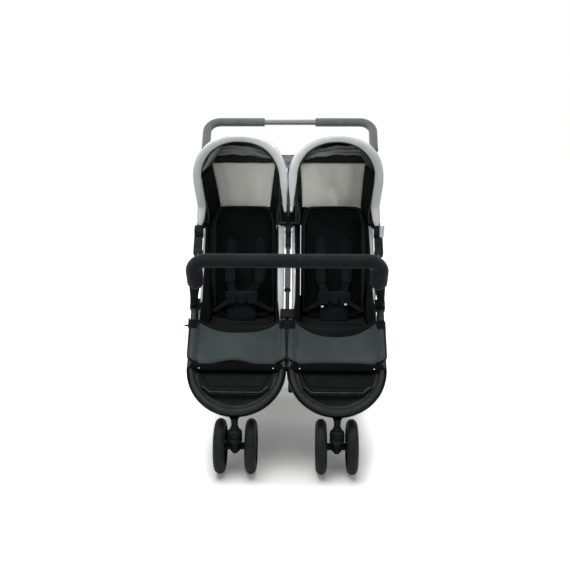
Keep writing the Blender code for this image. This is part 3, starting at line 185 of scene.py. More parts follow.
def uneven_colour(look, light, dark, scale):
    """The colour wanders between two shades."""
    tree = look.node_tree
    cloud = texture(look, "ShaderNodeTexNoise", scale, Detail=3.0)
    ramp = tree.nodes.new("ShaderNodeValToRGB")
    ramp.color_ramp.elements[0].position = 0.35
    ramp.color_ramp.elements[1].position = 0.68
    ramp.color_ramp.elements[0].color = (*dark, 1)
    ramp.color_ramp.elements[1].color = (*light, 1)
    tree.links.new(cloud.outputs["Fac"], ramp.inputs["Fac"])
    tree.links.new(ramp.outputs["Color"], tree.nodes["Principled BSDF"].inputs["Base Color"])


def uneven_gloss(look, smooth, rough, scale):
    """Handling has polished the surface in places."""
    tree = look.node_tree
    cloud = texture(look, "ShaderNodeTexNoise", scale, Detail=4.0)
    spread = tree.nodes.new("ShaderNodeMapRange")
    spread.inputs["From Min"].default_value = 0.3
    spread.inputs["From Max"].default_value = 0.7
    spread.inputs["To Min"].default_value = smooth
    spread.inputs["To Max"].default_value = rough
    tree.links.new(cloud.outputs["Fac"], spread.inputs["Value"])
    tree.links.new(spread.outputs["Result"], tree.nodes["Principled BSDF"].inputs["Roughness"])


def relief(look, height, strength, distance):
    """Adds a pattern's height to the surface, on top of any relief already there."""
    tree = look.node_tree
    bump = tree.nodes.new("ShaderNodeBump")
    bump.inputs["Strength"].default_value = strength
    bump.inputs["Distance"].default_value = distance
    coat = tree.nodes["Principled BSDF"]
    if coat.inputs["Normal"].links:
        tree.links.new(coat.inputs["Normal"].links[0].from_socket, bump.inputs["Normal"])
    tree.links.new(height, bump.inputs["Height"])
    tree.links.new(bump.outputs["Normal"], coat.inputs["Normal"])


def powder_coat(name, light, dark):
    """Satin powder coat with a fine orange peel."""
    look = new_finish(name, light, 0.4, gloss=0.2)
    uneven_colour(look, light, dark, 18)
    uneven_gloss(look, 0.30, 0.48, 30)
    relief(look, texture(look, "ShaderNodeTexNoise", 900, Detail=1.0).outputs["Fac"], 0.25, 0.0003)
    return look


def finish_nodes(look, *names):
    """Solids of the frame that stay in view get their finish."""
    for name in names:
        nodes[name].data.materials.clear()
        nodes[name].data.materials.append(look)
        nodes[name].data.shade_smooth()
        nodes[name].data.set_sharp_from_angle(angle=math.radians(38))


black_coat = powder_coat("black_powder_coat", (0.024, 0.026, 0.027), (0.014, 0.016, 0.016))
for _, half in halves:
    finish_nodes(black_coat, f"front_frame_{half}", f"rear_leg_{half}")
finish_nodes(black_coat, "centre_post", "seat_frame", "seat_bar", "upper_crossbar",
             "centre_upper_tube")


# Moulded joints: hinge cheeks and knuckles, tube brackets, bumper clamps, axle blocks and the
# storage latch. They are black nylon with a fine spark-eroded grain, held by steel rivets.

def moulded_plastic(name, light, dark, smooth=0.42, rough=0.6, grain=0.35):
    """Nylon with a fine pitted grain."""
    look = new_finish(name, light, 0.5, gloss=0.07)
    uneven_colour(look, light, dark, 26)
    uneven_gloss(look, smooth, rough, 40)
    pits = texture(look, "ShaderNodeTexVoronoi", 1400, feature="F1")
    relief(look, pits.outputs["Distance"], grain, 0.0002)
    return look


black_nylon = moulded_plastic("black_nylon", (0.0085, 0.0095, 0.0095), (0.005, 0.0055, 0.0055))
for _, half in halves:
    finish_nodes(black_nylon, f"hinge_housing_{half}", f"knuckle_{half}", f"bumper_bracket_{half}",
                 f"hub_block_{half}")
finish_nodes(black_nylon, "hinge_housing_centre", "knuckle_centre", "centre_bracket",
             "storage_latch", "brake_pedal")

rivet_steel = new_finish("rivet_steel", (0.55, 0.55, 0.56), 0.3, 1.0)
uneven_gloss(rivet_steel, 0.22, 0.42, 60)


def belongs(piece, body, stands_for=None):
    """The piece moves with a body, and hides the solid it stands for, if any."""
    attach(piece, body)
    if stands_for:
        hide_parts(stands_for)


def turned_piece(name, profile, look, place, along=(0, 0, 1), steps=48):
    """A round piece from (radius, height) points, first to last, about the axis it lies along."""
    turn = Vector(along).to_track_quat("Z", "Y").to_matrix()
    shape = bmesh.new()
    rings = []
    for radius, height in profile:
        if radius < 1e-6:
            rings.append([shape.verts.new(Vector(place) + turn @ Vector((0, 0, height)))])
            continue
        rings.append([shape.verts.new(Vector(place) + turn @ Vector((
            radius * math.cos(2 * math.pi * i / steps), radius * math.sin(2 * math.pi * i / steps),
            height))) for i in range(steps)])
    for first, second in zip(rings, rings[1:]):
        for i in range(steps):
            j = (i + 1) % steps
            corners = [first[i % len(first)], first[j % len(first)], second[j % len(second)],
                       second[i % len(second)]]
            unique = list(dict.fromkeys(corners))
            if len(unique) > 2:
                shape.faces.new(unique)
    bmesh.ops.recalc_face_normals(shape, faces=shape.faces)
    return settled(name, shape, look)


def settled(name, shape, look, sharp=38):
    """The shape becomes an object with its finish on."""
    mesh = bpy.data.meshes.new(name)
    shape.to_mesh(mesh)
    shape.free()
    mesh.shade_smooth()
    mesh.set_sharp_from_angle(angle=math.radians(sharp))
    mesh.materials.append(look)
    thing = bpy.data.objects.new(name, mesh)
    bpy.context.scene.collection.objects.link(thing)
    return thing


def on_front(run, ahead=0.0, x=0.0):
    """A point down the sloping front frame from the fold hinge, and ahead of its plane."""
    return Vector((x, hinge_y - run * math.cos(front_lean) - ahead * math.sin(front_lean),
                   hinge_z - run * math.sin(front_lean) + ahead * math.cos(front_lean)))


def on_handle(run, x):
    """A point up the handle frame from the fold hinge."""
    return Vector((x, hinge_y + run * math.cos(handle_slope),
                   hinge_z + run * math.sin(handle_slope)))


def rivet(name, place, outward, radius, body):
    """A domed rivet head on a thin washer."""
    dome = [(0, radius * 0.55), (radius * 0.5, radius * 0.48), (radius * 0.85, radius * 0.25),
            (radius, 0.0002), (radius * 1.35, 0.0001), (radius * 1.35, -0.0006)]
    head = turned_piece(name, dome, rivet_steel, place, outward, 24)
    belongs(head, body)


for side, half in halves:
    cheek = side * 0.3258
    rivet(f"hinge_rivet_{half}", (cheek, hinge_y, hinge_z), (side, 0, 0), 0.0062, "handle_frame")
    rivet(f"leg_rivet_{half}", (cheek, 0.02397, 0.62924), (side, 0, 0), 0.0058, "rear_frame")
    for number, run in enumerate((0.048, 0.076)):
        rivet(f"socket_rivet_{half}_{number}", on_front(run, x=cheek), (side, 0, 0), 0.0034,
              "front_frame")
rivet("middle_rivet", (-0.0100, hinge_y, hinge_z), (-1, 0, 0), 0.005, "front_frame")
rivet("middle_rivet_right", (0.0100, hinge_y, hinge_z), (1, 0, 0), 0.005, "handle_frame")


# Push handle: one U of grey anodised tube, with a foam sleeve pushed over each corner. The
# sleeves are closed-cell foam with a fine skin, cut square and slightly rounded at their ends.

anodised_grey = new_finish("anodised_grey", (0.150, 0.156, 0.153), 0.35, gloss=0.5)
uneven_gloss(anodised_grey, 0.28, 0.42, 45)
drawn_lines = texture(anodised_grey, "ShaderNodeTexNoise", 500, Detail=2.0)
relief(anodised_grey, drawn_lines.outputs["Fac"], 0.08, 0.0002)
finish_nodes(anodised_grey, "handle_tube")


def foam(name, light, dark, cell=1100):
    """Closed-cell foam with a fine skin."""
    look = new_finish(name, light, 0.85, gloss=0.2)
    uneven_colour(look, light, dark, 60)
    cells = texture(look, "ShaderNodeTexVoronoi", cell, feature="F1")
    relief(look, cells.outputs["Distance"], 0.55, 0.0006)
    coat = look.node_tree.nodes["Principled BSDF"]
    coat.inputs["Sheen Weight"].default_value = 0.35
    coat.inputs["Sheen Roughness"].default_value = 0.6
    return look


def smooth_path(corners, radius, pieces=10, spacing=0.02):
    """Points along straight runs joined by round bends."""
    path = [corners[0]]
    for before, corner, after in zip(corners, corners[1:], corners[2:]):
        back = (before - corner).normalized()
        ahead = (after - corner).normalized()
        half = back.angle(ahead) / 2
        centre = corner + (back + ahead).normalized() * radius / math.sin(half)
        start = corner + back * radius / math.tan(half) - centre
        end = corner + ahead * radius / math.tan(half) - centre
        turn = start.angle(end)
        for step in range(pieces + 1):
            share = step / pieces
            path.append(centre + (start * math.sin((1 - share) * turn)
                                  + end * math.sin(share * turn)) / math.sin(turn))
    path.append(corners[-1])
    even = [path[0]]
    for a, b in zip(path, path[1:]):
        count = max(1, round((b - a).length / spacing))
        even += [a.lerp(b, i / count) for i in range(1, count + 1)]
    return even


def joined(shape, rings, around=True):
    """Faces between each ring of vertices and the next."""
    for first, second in zip(rings, rings[1:]):
        count = len(first)
        for i in range(count if around else count - 1):
            j = (i + 1) % count
            shape.faces.new((first[i], first[j], second[j], second[i]))


def skinned(shape, rings):
    """A closed skin over rings of vertices, with a face at each end."""
    joined(shape, rings)
    shape.faces.new(rings[0][::-1])
    shape.faces.new(rings[-1])


def heading(path, i):
    """The way that a path runs at one of its points."""
    return (path[min(i + 1, len(path) - 1)] - path[max(i - 1, 0)]).normalized()


def sleeve_along(name, path, sizes, look, sides=28, first_up=None):
    """A sleeve through rings round the path. sizes gives each ring's (half width, half height)."""
    shape = bmesh.new()
    up = first_up or Vector((0, 0, 1))
    rings = []
    for i, place in enumerate(path):
        along = heading(path, i)
        up = (up - along * up.dot(along)).normalized()
        across = along.cross(up)
        wide, high = sizes[i]
        rings.append([shape.verts.new(place + across * wide * math.cos(2 * math.pi * k / sides)
                                      + up * high * math.sin(2 * math.pi * k / sides))
                      for k in range(sides)])
    skinned(shape, rings)
    bmesh.ops.recalc_face_normals(shape, faces=shape.faces)
    return settled(name, shape, look, 50)


grip_foam = foam("grip_foam", (0.100, 0.104, 0.104), (0.075, 0.079, 0.079))
for side, half in halves:
    leg = on_handle(0.375, side * 0.3149)
    corner_path = smooth_path([leg, on_handle(0.5203, side * 0.317),
                               on_handle(0.5203, side * 0.0975)], 0.050)
    path_with_rims = [corner_path[0], corner_path[0].lerp(corner_path[1], 0.06),
                      *corner_path[1:-1], corner_path[-1].lerp(corner_path[-2], 0.06),
                      corner_path[-1]]
    rim_sizes = [(0.0148, 0.0148), *[(0.0160, 0.0160)] * len(corner_path), (0.0148, 0.0148)]
    grip = sleeve_along(f"grip_foam_{half}", path_with_rims, rim_sizes, grip_foam)
    belongs(grip, "handle_frame", f"grip_{half}")


# Casters: a fixed swivel housing under each hoop and a fork that turns in it, both moulded in
# glass-filled nylon. A paler collar marks the swivel lock, and a round nut closes the bottom.

caster_y = -0.38895
collar_nylon = moulded_plastic("collar_nylon", (0.020, 0.023, 0.022), (0.013, 0.015, 0.015),
                               0.34, 0.5)
for side, half in halves:
    x = side * seat_middle
    upper = turned_piece(f"swivel_housing_{half}", [
        (0.0162, 0.2010), (0.0135, 0.1960), (0.0114, 0.1900), (0.0106, 0.1820), (0.0106, 0.1685),
        (0.0128, 0.1672), (0.0140, 0.1655), (0.0142, 0.1590), (0.0175, 0.1570), (0.0215, 0.1545),
        (0.0232, 0.1500), (0.0236, 0.1390), (0.0232, 0.1365), (0.0222, 0.1345), (0.0219, 0.1315),
        (0.0219, 0.1190), (0.0212, 0.1182), (0.0, 0.1182)], black_nylon,
        (x, caster_y, 0))
    belongs(upper, "front_frame", f"caster_housing_{half}")
    collar = turned_piece(f"swivel_collar_{half}", [
        (0.0219, 0.1308), (0.0229, 0.1302), (0.0236, 0.1290), (0.0237, 0.1215), (0.0230, 0.1200),
        (0.0219, 0.1195)], collar_nylon, (x, caster_y, 0))
    belongs(collar, "front_frame")
    lock_tab = turned_piece(f"lock_tab_{half}", [
        (0, 0.0262), (0.0045, 0.0260), (0.0054, 0.0252), (0.0056, 0.0215), (0.0, 0.0215)],
        collar_nylon, (x, caster_y, 0.1255), (0, -1, 0), 20)
    belongs(lock_tab, "front_frame")
    finish_nodes(black_nylon, f"caster_fork_{half}")
    nut = turned_piece(f"swivel_nut_{half}", [
        (0.0, 0.0795), (0.0062, 0.0795), (0.0086, 0.0806), (0.0094, 0.0830), (0.0094, 0.0875),
        (0.0112, 0.0885), (0.0116, 0.0900), (0.0116, 0.0915), (0.0, 0.0915)][::-1],
        black_nylon, (x, caster_y, 0), (0, 0, 1), 24)
    belongs(nut, f"caster_{half}")


# Wheels: foam-filled rubber tyres with shallow tread grooves on moulded black discs. The front
# ones run in pairs on each caster, and the larger rear ones sit on the ends of the axle.

def tyre_rubber(name):
    """Dull black rubber."""
    look = new_finish(name, (0.010, 0.011, 0.011), 0.6, gloss=0.12)
    uneven_colour(look, (0.0130, 0.0142, 0.0140), (0.0065, 0.0070, 0.0070), 22)
    uneven_gloss(look, 0.50, 0.72, 35)
    relief(look, texture(look, "ShaderNodeTexNoise", 700, Detail=2.0).outputs["Fac"], 0.3, 0.0003)
    return look


smooth_rubber = tyre_rubber("smooth_rubber")
wheel_nylon = moulded_plastic("wheel_nylon", (0.012, 0.013, 0.013), (0.007, 0.008, 0.008), 0.38,
                              0.55)


def tyre(name, centre, outer, inner, width, body, replaced):
    """A round tread with three shallow grooves and a bead each side of the disc."""
    profile = []
    deep = outer - inner - 0.0006
    profile.append((inner + 0.0004, -width * 0.30))
    for i in range(33):
        angle = -math.pi / 2 + math.pi * i / 32
        radius = inner + 0.0006 + deep * max(math.cos(angle), 0) ** 0.80
        across = width / 2 * math.sin(angle)
        groove = 0.0009 * sum(math.exp(-((across - g * width) / 0.0009) ** 2)
                              for g in (-0.22, 0.0, 0.22))
        profile.append((radius - groove, across))
    profile.append((inner + 0.0004, width * 0.30))
    ring = turned_piece(name, profile, smooth_rubber, centre, (1, 0, 0), 80)
    belongs(ring, body, replaced)


def wheel_disc(name, centre, radius, half_width, hub_radius, spokes, body, replaced):
    """A moulded disc: bead seat, hub with a cap on both ends, and raised spokes on both faces."""
    shape = bmesh.new()
    profile = [(0.0, half_width), (hub_radius * 0.62, half_width),
               (hub_radius * 0.82, half_width * 0.93), (hub_radius, half_width * 0.80),
               (hub_radius * 1.05, half_width * 0.34), (radius * 0.80, half_width * 0.22),
               (radius * 0.88, half_width * 0.50), (radius * 0.935, half_width * 0.60),
               (radius * 0.985, half_width * 0.58), (radius, half_width * 0.48)]
    profile += [(r, -h) for r, h in reversed(profile)]
    disc = turned_piece(name, profile, wheel_nylon, centre, (1, 0, 0), 64)
    for k in range(spokes):
        turn = Matrix.Rotation(2 * math.pi * k / spokes, 4, "X")
        for way in (-1, 1):
            run = [(hub_radius * 0.9, 0.0068, 0.62), (radius * 0.45, 0.0052, 0.50),
                   (radius * 0.84, 0.0060, 0.47)]
            lower = []
            upper = []
            for r, wide, high in run:
                for side_way in (-1, 1):
                    foot = turn @ Vector((way * half_width * 0.16, side_way * wide, r))
                    head = turn @ Vector((way * half_width * high, side_way * wide * 0.72, r))
                    lower.append(shape.verts.new(Vector(centre) + foot))
                    upper.append(shape.verts.new(Vector(centre) + head))
            for i in range(len(run) - 1):
                a = 2 * i
                shape.faces.new((upper[a], upper[a + 1], upper[a + 3], upper[a + 2]))
                shape.faces.new((lower[a], upper[a], upper[a + 2], lower[a + 2]))
                shape.faces.new((lower[a + 1], lower[a + 3], upper[a + 3], upper[a + 1]))
            shape.faces.new((lower[0], lower[1], upper[1], upper[0]))
            shape.faces.new((lower[-2], upper[-2], upper[-1], lower[-1]))
    bmesh.ops.recalc_face_normals(shape, faces=shape.faces)
    webs = settled(f"{name}_spokes", shape, wheel_nylon)
    webs.parent = disc
    belongs(disc, body, replaced)


def hub_cap(name, centre, outward, radius, body):
    """A shallow pressed cap with a turned edge."""
    cap = turned_piece(name, [(0, 0.0012), (radius * 0.55, 0.0010), (radius * 0.62, 0.0003),
                              (radius * 0.80, 0.0003), (radius * 0.86, 0.0012), (radius, 0.0006),
                              (radius, -0.0020), (0, -0.0020)], wheel_nylon, centre, outward, 32)
    belongs(cap, body)


front_radius, front_rim, rear_radius, rear_rim = 0.0875, 0.0620, 0.1175, 0.0920
for side, half in halves:
    for place, which in ((-1, "a"), (1, "b")):
        middle = Vector((side * seat_middle + place * 0.049, -0.35895, front_radius))
        body = f"front_wheel_{half}_{which}"
        tyre(f"front_tread_{half}_{which}", middle, front_radius, front_rim, 0.036, body,
             f"front_tyre_{half}_{which}")
        wheel_disc(f"front_disc_{half}_{which}", middle, front_rim, 0.0170, 0.0160, 5, body,
                   f"front_rim_{half}_{which}")
        hub_cap(f"front_cap_{half}_{which}", middle + Vector((place * 0.0170, 0, 0)), (place, 0, 0),
                0.0105, body)
    middle = Vector((side * 0.351, 0.300, rear_radius))
    body = f"rear_wheel_{half}"
    tyre(f"rear_tread_{half}", middle, rear_radius, rear_rim, 0.042, body, f"rear_tyre_{half}")
    wheel_disc(f"rear_disc_{half}", middle, rear_rim, 0.0200, 0.0235, 6, body, f"rear_rim_{half}")
    hub_cap(f"rear_cap_{half}", middle + Vector((side * 0.0200, 0, 0)), (side, 0, 0), 0.0150, body)

post_end = turned_piece("post_end_cap", [
    (0, 0.0215), (0.0070, 0.0210), (0.0082, 0.0195), (0.0082, -0.0205), (0.0072, -0.0220),
    (0, -0.0225)][::-1], black_nylon, (0.0135, -0.2850, 0.2640), (0, 0, 1), 28)
belongs(post_end, "front_frame")

axle_steel = new_finish("axle_steel", (0.10, 0.104, 0.106), 0.38, 0.7)
uneven_gloss(axle_steel, 0.30, 0.50, 40)
finish_nodes(axle_steel, "rear_axle")


# Footrest shields: one moulded cover over each hoop. It has a round bead over the tube, a sunk
# panel with fine ribs for the shoes, a heel ledge that curls up at its ends, and a shallow bowl.
# A lighter band inside the bead and on the ledge, and a pale bead along the ledge, are painted
# highlight.

def rise(value, start, end):
    """0 before start, 1 after end and a smooth step between."""
    share = min(max((value - start) / (end - start), 0.0), 1.0)
    return share * share * (3 - 2 * share)


def bead_along(name, path, radius, look, sides=8):
    """A thin round bead or cord along a path."""
    return sleeve_along(name, path, [(radius, radius)] * len(path), look, sides)


def from_rim(x, run):
    """The distance from a place on the shield to its rim."""
    return shield_radius - (math.hypot(x, run) if run > 0 else abs(x))


def ledge_at(x):
    """How far down the shield its heel ledge runs."""
    return 0.0830 - 0.020 * rise(abs(x), 0.075, 0.108)


def shield_height(x, run):
    """How far the moulding's outer face stands ahead of the tube's middle plane."""
    edge = from_rim(x, run)
    tube = 0.0110
    bead = 0.0030 + math.sqrt(max(tube ** 2 - (tube - min(edge, tube)) ** 2, 0.0))
    height = bead - 0.0132 * rise(edge, 0.0175, 0.0300)
    sunk = rise(edge, 0.0420 + 0.23 * max(run, 0), 0.0450 + 0.23 * max(run, 0))
    sunk *= rise(run, -0.004, 0.001) * (1 - rise(run, 0.058, 0.062))
    height -= 0.0060 * sunk
    ledge_run = ledge_at(x)
    ledge = rise(run, ledge_run - 0.0075,
                 ledge_run) * (1 - rise(run, ledge_run + 0.001, ledge_run + 0.012))
    height += 0.0110 * ledge * (1 - rise(abs(x), 0.103, 0.114))
    height -= 0.0040 * rise(run, ledge_run + 0.004, ledge_run + 0.02) * rise(edge, 0.024, 0.045)
    return height


shield_nylon = moulded_plastic("shield_nylon", (0.0044, 0.0056, 0.0053), (0.0026, 0.0034, 0.0033),
                               0.30, 0.42, 0.2)
shield_nylon.node_tree.nodes["Principled BSDF"].inputs["Specular IOR Level"].default_value = 0.03
# Lighter nylons for the ledge's bead and for the band inside the rim bead and the ledge: painted
# highlight.
ledge_highlight_nylon = moulded_plastic("ledge_highlight_nylon", (0.105, 0.112, 0.108), (0.060, 0.064, 0.062), 0.30, 0.4,
                            0.1)
rim_highlight_nylon = moulded_plastic("rim_highlight_nylon", (0.024, 0.027, 0.026), (0.015, 0.017, 0.016), 0.34, 0.46,
                            0.2)
shoe_ribs = texture(shield_nylon, "ShaderNodeTexWave", 95, wave_type="BANDS", bands_direction="Z")
relief(shield_nylon, shoe_ribs.outputs["Fac"], 0.10, 0.0003)


def footrest_shield(half, middle):
    """The cover of one hoop, with a pale bead on its heel ledge as a painted highlight."""
    shape = bmesh.new()
    rings = []
    ring_count, angle_count = 60, 112
    for ring in range(ring_count + 1):
        share = 1 - (1 - ring / ring_count) ** 1.25
        row = []
        for i in range(angle_count + 1):
            angle = math.pi * i / angle_count
            x = shield_radius * math.cos(angle) * (0.42 + 0.58 * share)
            run = (shield_radius * math.sin(angle) + 0.012) * share - 0.012
            row.append(shape.verts.new(on_front(hoop_run + run, shield_height(x, run), middle + x)))
        rings.append(row)
    rings.append([shape.verts.new(on_front(hoop_run + 0.1600 * math.sin(math.pi * i / angle_count),
                                           -0.0045,
                                           middle + 0.1600 * math.cos(math.pi * i / angle_count)))
                  for i in range(angle_count + 1)])
    joined(shape, rings, around=False)
    for face in shape.faces:
        where = face.calc_center_median()
        run = (hinge_z - where.z) / math.sin(front_lean) - hoop_run
        x = where.x - middle
        ledge_highlight_face = abs(run - ledge_at(x)) < 0.0045 and abs(x) < 0.111
        # The band inside the bead and the heel ledge take the lighter finish, a painted highlight.
        face.material_index = int(0.012 < from_rim(x, run) < 0.034 or ledge_highlight_face)
    bmesh.ops.recalc_face_normals(shape, faces=shape.faces)
    if shape.faces[0].normal.y > 0:
        bmesh.ops.reverse_faces(shape, faces=shape.faces)
    shield = settled(f"shield_{half}", shape, shield_nylon, 60)
    shield.data.materials.append(rim_highlight_nylon)
    wall = shield.modifiers.new("wall", "SOLIDIFY")
    wall.thickness = 0.0028
    wall.offset = -1.0
    belongs(shield, "front_frame", f"footrest_shield_{half}")
    lip = []
    for i in range(-24, 25):
        x = 0.106 * i / 24
        run = ledge_at(x) + 0.0005
        lip.append(on_front(hoop_run + run, shield_height(x, run) + 0.0003, middle + x))
    lip_highlight = bead_along(f"shield_ledge_highlight_{half}", lip, 0.0012, ledge_highlight_nylon)
    belongs(lip_highlight, "front_frame")


for side, half in halves:
    footrest_shield(half, side * seat_middle)
    for number, x in enumerate((-0.118, 0.118)):
        rivet(f"shield_stud_{half}_{number}", on_front(0.5120, 0.0150, side * seat_middle + x),
              on_front(0, 1) - on_front(0), 0.0013, "front_frame")


# Storage basket: a tub of black nylon cloth with bound edges, hung from the seat rail on sewn
# webbing loops. Its long sides bow in a little between the loops and its floor sags.

def woven(look, pitch, strength, distance):
    """Crossed threads. Only the two directions that lie in the cloth show on it."""
    tree = look.node_tree
    threads = []
    for direction in "XYZ":
        threads.append(texture(look, "ShaderNodeTexWave", 0.314 / pitch, wave_type="BANDS",
                               bands_direction=direction, Distortion=0.4))
    first = tree.nodes.new("ShaderNodeMath")
    first.operation = "ADD"
    second = tree.nodes.new("ShaderNodeMath")
    second.operation = "ADD"
    tree.links.new(threads[0].outputs["Fac"], first.inputs[0])
    tree.links.new(threads[1].outputs["Fac"], first.inputs[1])
    tree.links.new(first.outputs[0], second.inputs[0])
    tree.links.new(threads[2].outputs["Fac"], second.inputs[1])
    relief(look, second.outputs[0], strength, distance)


def cloth_finish(name, light, dark, pitch, sheen, roughness=0.85, creases=0.25, mottle=16):
    """Woven cloth. pitch is the distance between threads and mottle the size of its stains."""
    look = new_finish(name, light, roughness, gloss=0.05)
    uneven_colour(look, light, dark, mottle)
    relief(look, texture(look, "ShaderNodeTexNoise", 34, Detail=3.0).outputs["Fac"], creases, 0.004)
    woven(look, pitch, 0.35, 0.0003)
    coat = look.node_tree.nodes["Principled BSDF"]
    coat.inputs["Sheen Weight"].default_value = sheen
    coat.inputs["Sheen Roughness"].default_value = 0.5
    return look


black_webbing = cloth_finish("black_webbing", (0.0055, 0.0062, 0.0064), (0.0034, 0.0038, 0.0040),
                             0.0018, 0.03, 0.75, 0.05)
basket_nylon = cloth_finish("basket_nylon", (0.0085, 0.0090, 0.0092), (0.0045, 0.0048, 0.0050),
                            0.0016, 0.05)


def cloth_rows(name, rows, look, thickness, around=False, offset=0.0):
    """Cloth through rows of points, with the cut edge's thickness."""
    shape = bmesh.new()
    grid = [[shape.verts.new(point) for point in row] for row in rows]
    joined(shape, grid, around)
    piece = settled(name, shape, look, 70)
    wall = piece.modifiers.new("cloth", "SOLIDIFY")
    wall.thickness = thickness
    wall.offset = offset
    return piece


def rounded_ring(z, half, low, high, radius):
    """Points round a level rectangle with round corners."""
    corner, straight = 8, 12
    ring = []
    corners = ((half - radius, high - radius, 0), (-half + radius, high - radius, 90),
               (-half + radius, low + radius, 180), (half - radius, low + radius, 270))
    for number, (x, y, start) in enumerate(corners):
        for step in range(corner + 1):
            angle = math.radians(start + 90 * step / corner)
            ring.append(Vector((x + radius * math.cos(angle), y + radius * math.sin(angle), z)))
        x2, y2, start2 = corners[(number + 1) % 4]
        angle = math.radians(start2)
        after = Vector((x2 + radius * math.cos(angle), y2 + radius * math.sin(angle), z))
        ring += [ring[-1].lerp(after, i / straight) for i in range(1, straight)]
    return ring


basket_top, basket_floor = 0.3510, 0.2372
basket_middle_y, rail_z = 0.031, 0.3597
basket_rows = []
for level in range(15):
    share = level / 14
    z = basket_top + (basket_floor - basket_top) * share
    shrink = 0.035 * (share * 0.5 / 0.43 if share < 0.43 else 0.5 + (share - 0.43) / 0.57 * 0.5)
    ring = rounded_ring(z, 0.2862 - shrink, -0.1412 + shrink * 1.6, 0.2030 - shrink, 0.030)
    pull = math.sin(math.pi * min(share * 1.1, 1.0))
    moved = []
    for point in ring:
        inward = Vector((0, basket_middle_y, z)) - point
        inward.z = 0
        ripple = noise.noise(point * 14) * 0.0022
        scallop = 0.0028 * math.cos(point.x * 34) * (1 - share)
        moved.append(point + inward.normalized() * (0.0035 * pull + ripple * pull)
                     + Vector((0, 0, -abs(scallop) if level == 0 else 0)))
    basket_rows.append(moved)
base = basket_rows[-1]
heart = Vector((0, 0.040, basket_floor))
for step in range(1, 8):
    share = step / 7
    row = []
    for point in base:
        inner = point.lerp(heart, share * 0.98)
        drop = 0.0020 * math.sin(math.pi / 2 * min(share * 1.6, 1.0))
        row.append(inner - Vector((0, 0, drop + noise.noise(inner * 16) * 0.0012)))
    basket_rows.append(row)
basket = cloth_rows("basket_cloth", basket_rows, basket_nylon, 0.0022, around=True, offset=-1.0)
belongs(basket, "front_frame", "basket")


def tape_along(name, path, outward, width, thickness, look):
    """Flat webbing along a path. outward gives each point's face direction."""
    shape = bmesh.new()
    rings = []
    for i, place in enumerate(path):
        along = heading(path, i)
        face = outward[i] if isinstance(outward, list) else outward
        face = (face - along * face.dot(along)).normalized()
        across = along.cross(face)
        ring = []
        for a, b in ((-0.5, 0), (-0.5, 0.8), (-0.44, 1), (0.44, 1), (0.5, 0.8), (0.5, 0)):
            ring.append(shape.verts.new(place + across * a * width + face * b * thickness))
        rings.append(ring)
    skinned(shape, rings)
    bmesh.ops.recalc_face_normals(shape, faces=shape.faces)
    return settled(name, shape, look, 45)


rim_ring = basket_rows[0]
rim_faces = [(point - Vector((0, basket_middle_y, point.z))).normalized() for point in rim_ring]
rim_path = [p + f * 0.0006 - Vector((0, 0, 0.006)) for p, f in zip(rim_ring, rim_faces)]
rim_tape = tape_along("basket_binding", [*rim_path, rim_path[0]], [*rim_faces, rim_faces[0]],
                      0.014, 0.0016, black_webbing)
belongs(rim_tape, "front_frame")


def rail_loop(name, rail, across):
    """A webbing loop sewn to the cloth below and passed over a 16 mm rail."""
    path, faces = [], []
    for i in range(25):
        angle = math.radians(-130 + 260 * i / 24)
        out = Vector((across[0] * math.sin(angle), across[1] * math.sin(angle), math.cos(angle)))
        path.append(Vector(rail) + out * 0.0086)
        faces.append(out)
    path.insert(0, path[0] - Vector((0, 0, 0.020)))
    faces.insert(0, faces[0])
    path.append(path[-1] - Vector((0, 0, 0.020)))
    faces.append(faces[-1])
    loop = tape_along(name, path, faces, 0.022, 0.0014, black_webbing)
    belongs(loop, "front_frame")


for side, half in halves:
    for number, y in enumerate((-0.062, 0.050, 0.150)):
        rail_loop(f"basket_loop_{half}_{number}", (side * 0.285, y, rail_z), (1, 0))
for number, x in enumerate((-0.200, 0.0, 0.200)):
    rail_loop(f"basket_loop_rear_{number}", (x, 0.200, rail_z), (0, 1))


# Seats: a black fabric tub over the rails, a loose quilted cushion in it, and tall side panels
# that rise to the fold hinge. The panels are light grey outside and black inside, with a black
# corded edge in front. The cushion is cut and sewn, then filled, so it swells between its seams.

def remade(piece):
    """The piece's modifiers become part of its mesh."""
    bpy.context.view_layer.update()
    graph = bpy.context.evaluated_depsgraph_get()
    mesh = bpy.data.meshes.new_from_object(piece.evaluated_get(graph))
    mesh.shade_smooth()
    piece.modifiers.clear()
    piece.data = mesh
    return piece


def rounder(piece):
    """The piece subdivided once."""
    smooth = piece.modifiers.new("rounder", "SUBSURF")
    smooth.levels = 1
    return remade(piece)


def pad_shape(name, half, low, high, corner, thickness, crown, look):
    """A closed pad lying level about its own middle plane, a little fuller in its middle."""
    inside = min(half, (high - low) / 2) * 0.94
    edge = thickness * 0.42
    profile = [(inside, -1), (inside * 0.6, -1), (inside * 0.3, -1), (edge, -0.96),
               (edge * 0.3, -0.62), (0, -0.2), (0, 0.2), (edge * 0.3, 0.62), (edge, 0.96),
               (inside * 0.3, 1), (inside * 0.6, 1), (inside, 1)]
    shape = bmesh.new()
    rings = []
    for inset, height in profile:
        z = height * thickness / 2
        if height > 0.9:
            z += crown * (1 - (1 - inset / inside) ** 2)
        ring = rounded_ring(z, half - inset, low + inset, high - inset, max(corner - inset, 0.004))
        rings.append([shape.verts.new(point) for point in ring])
    skinned(shape, rings)
    return settled(name, shape, look, 80)


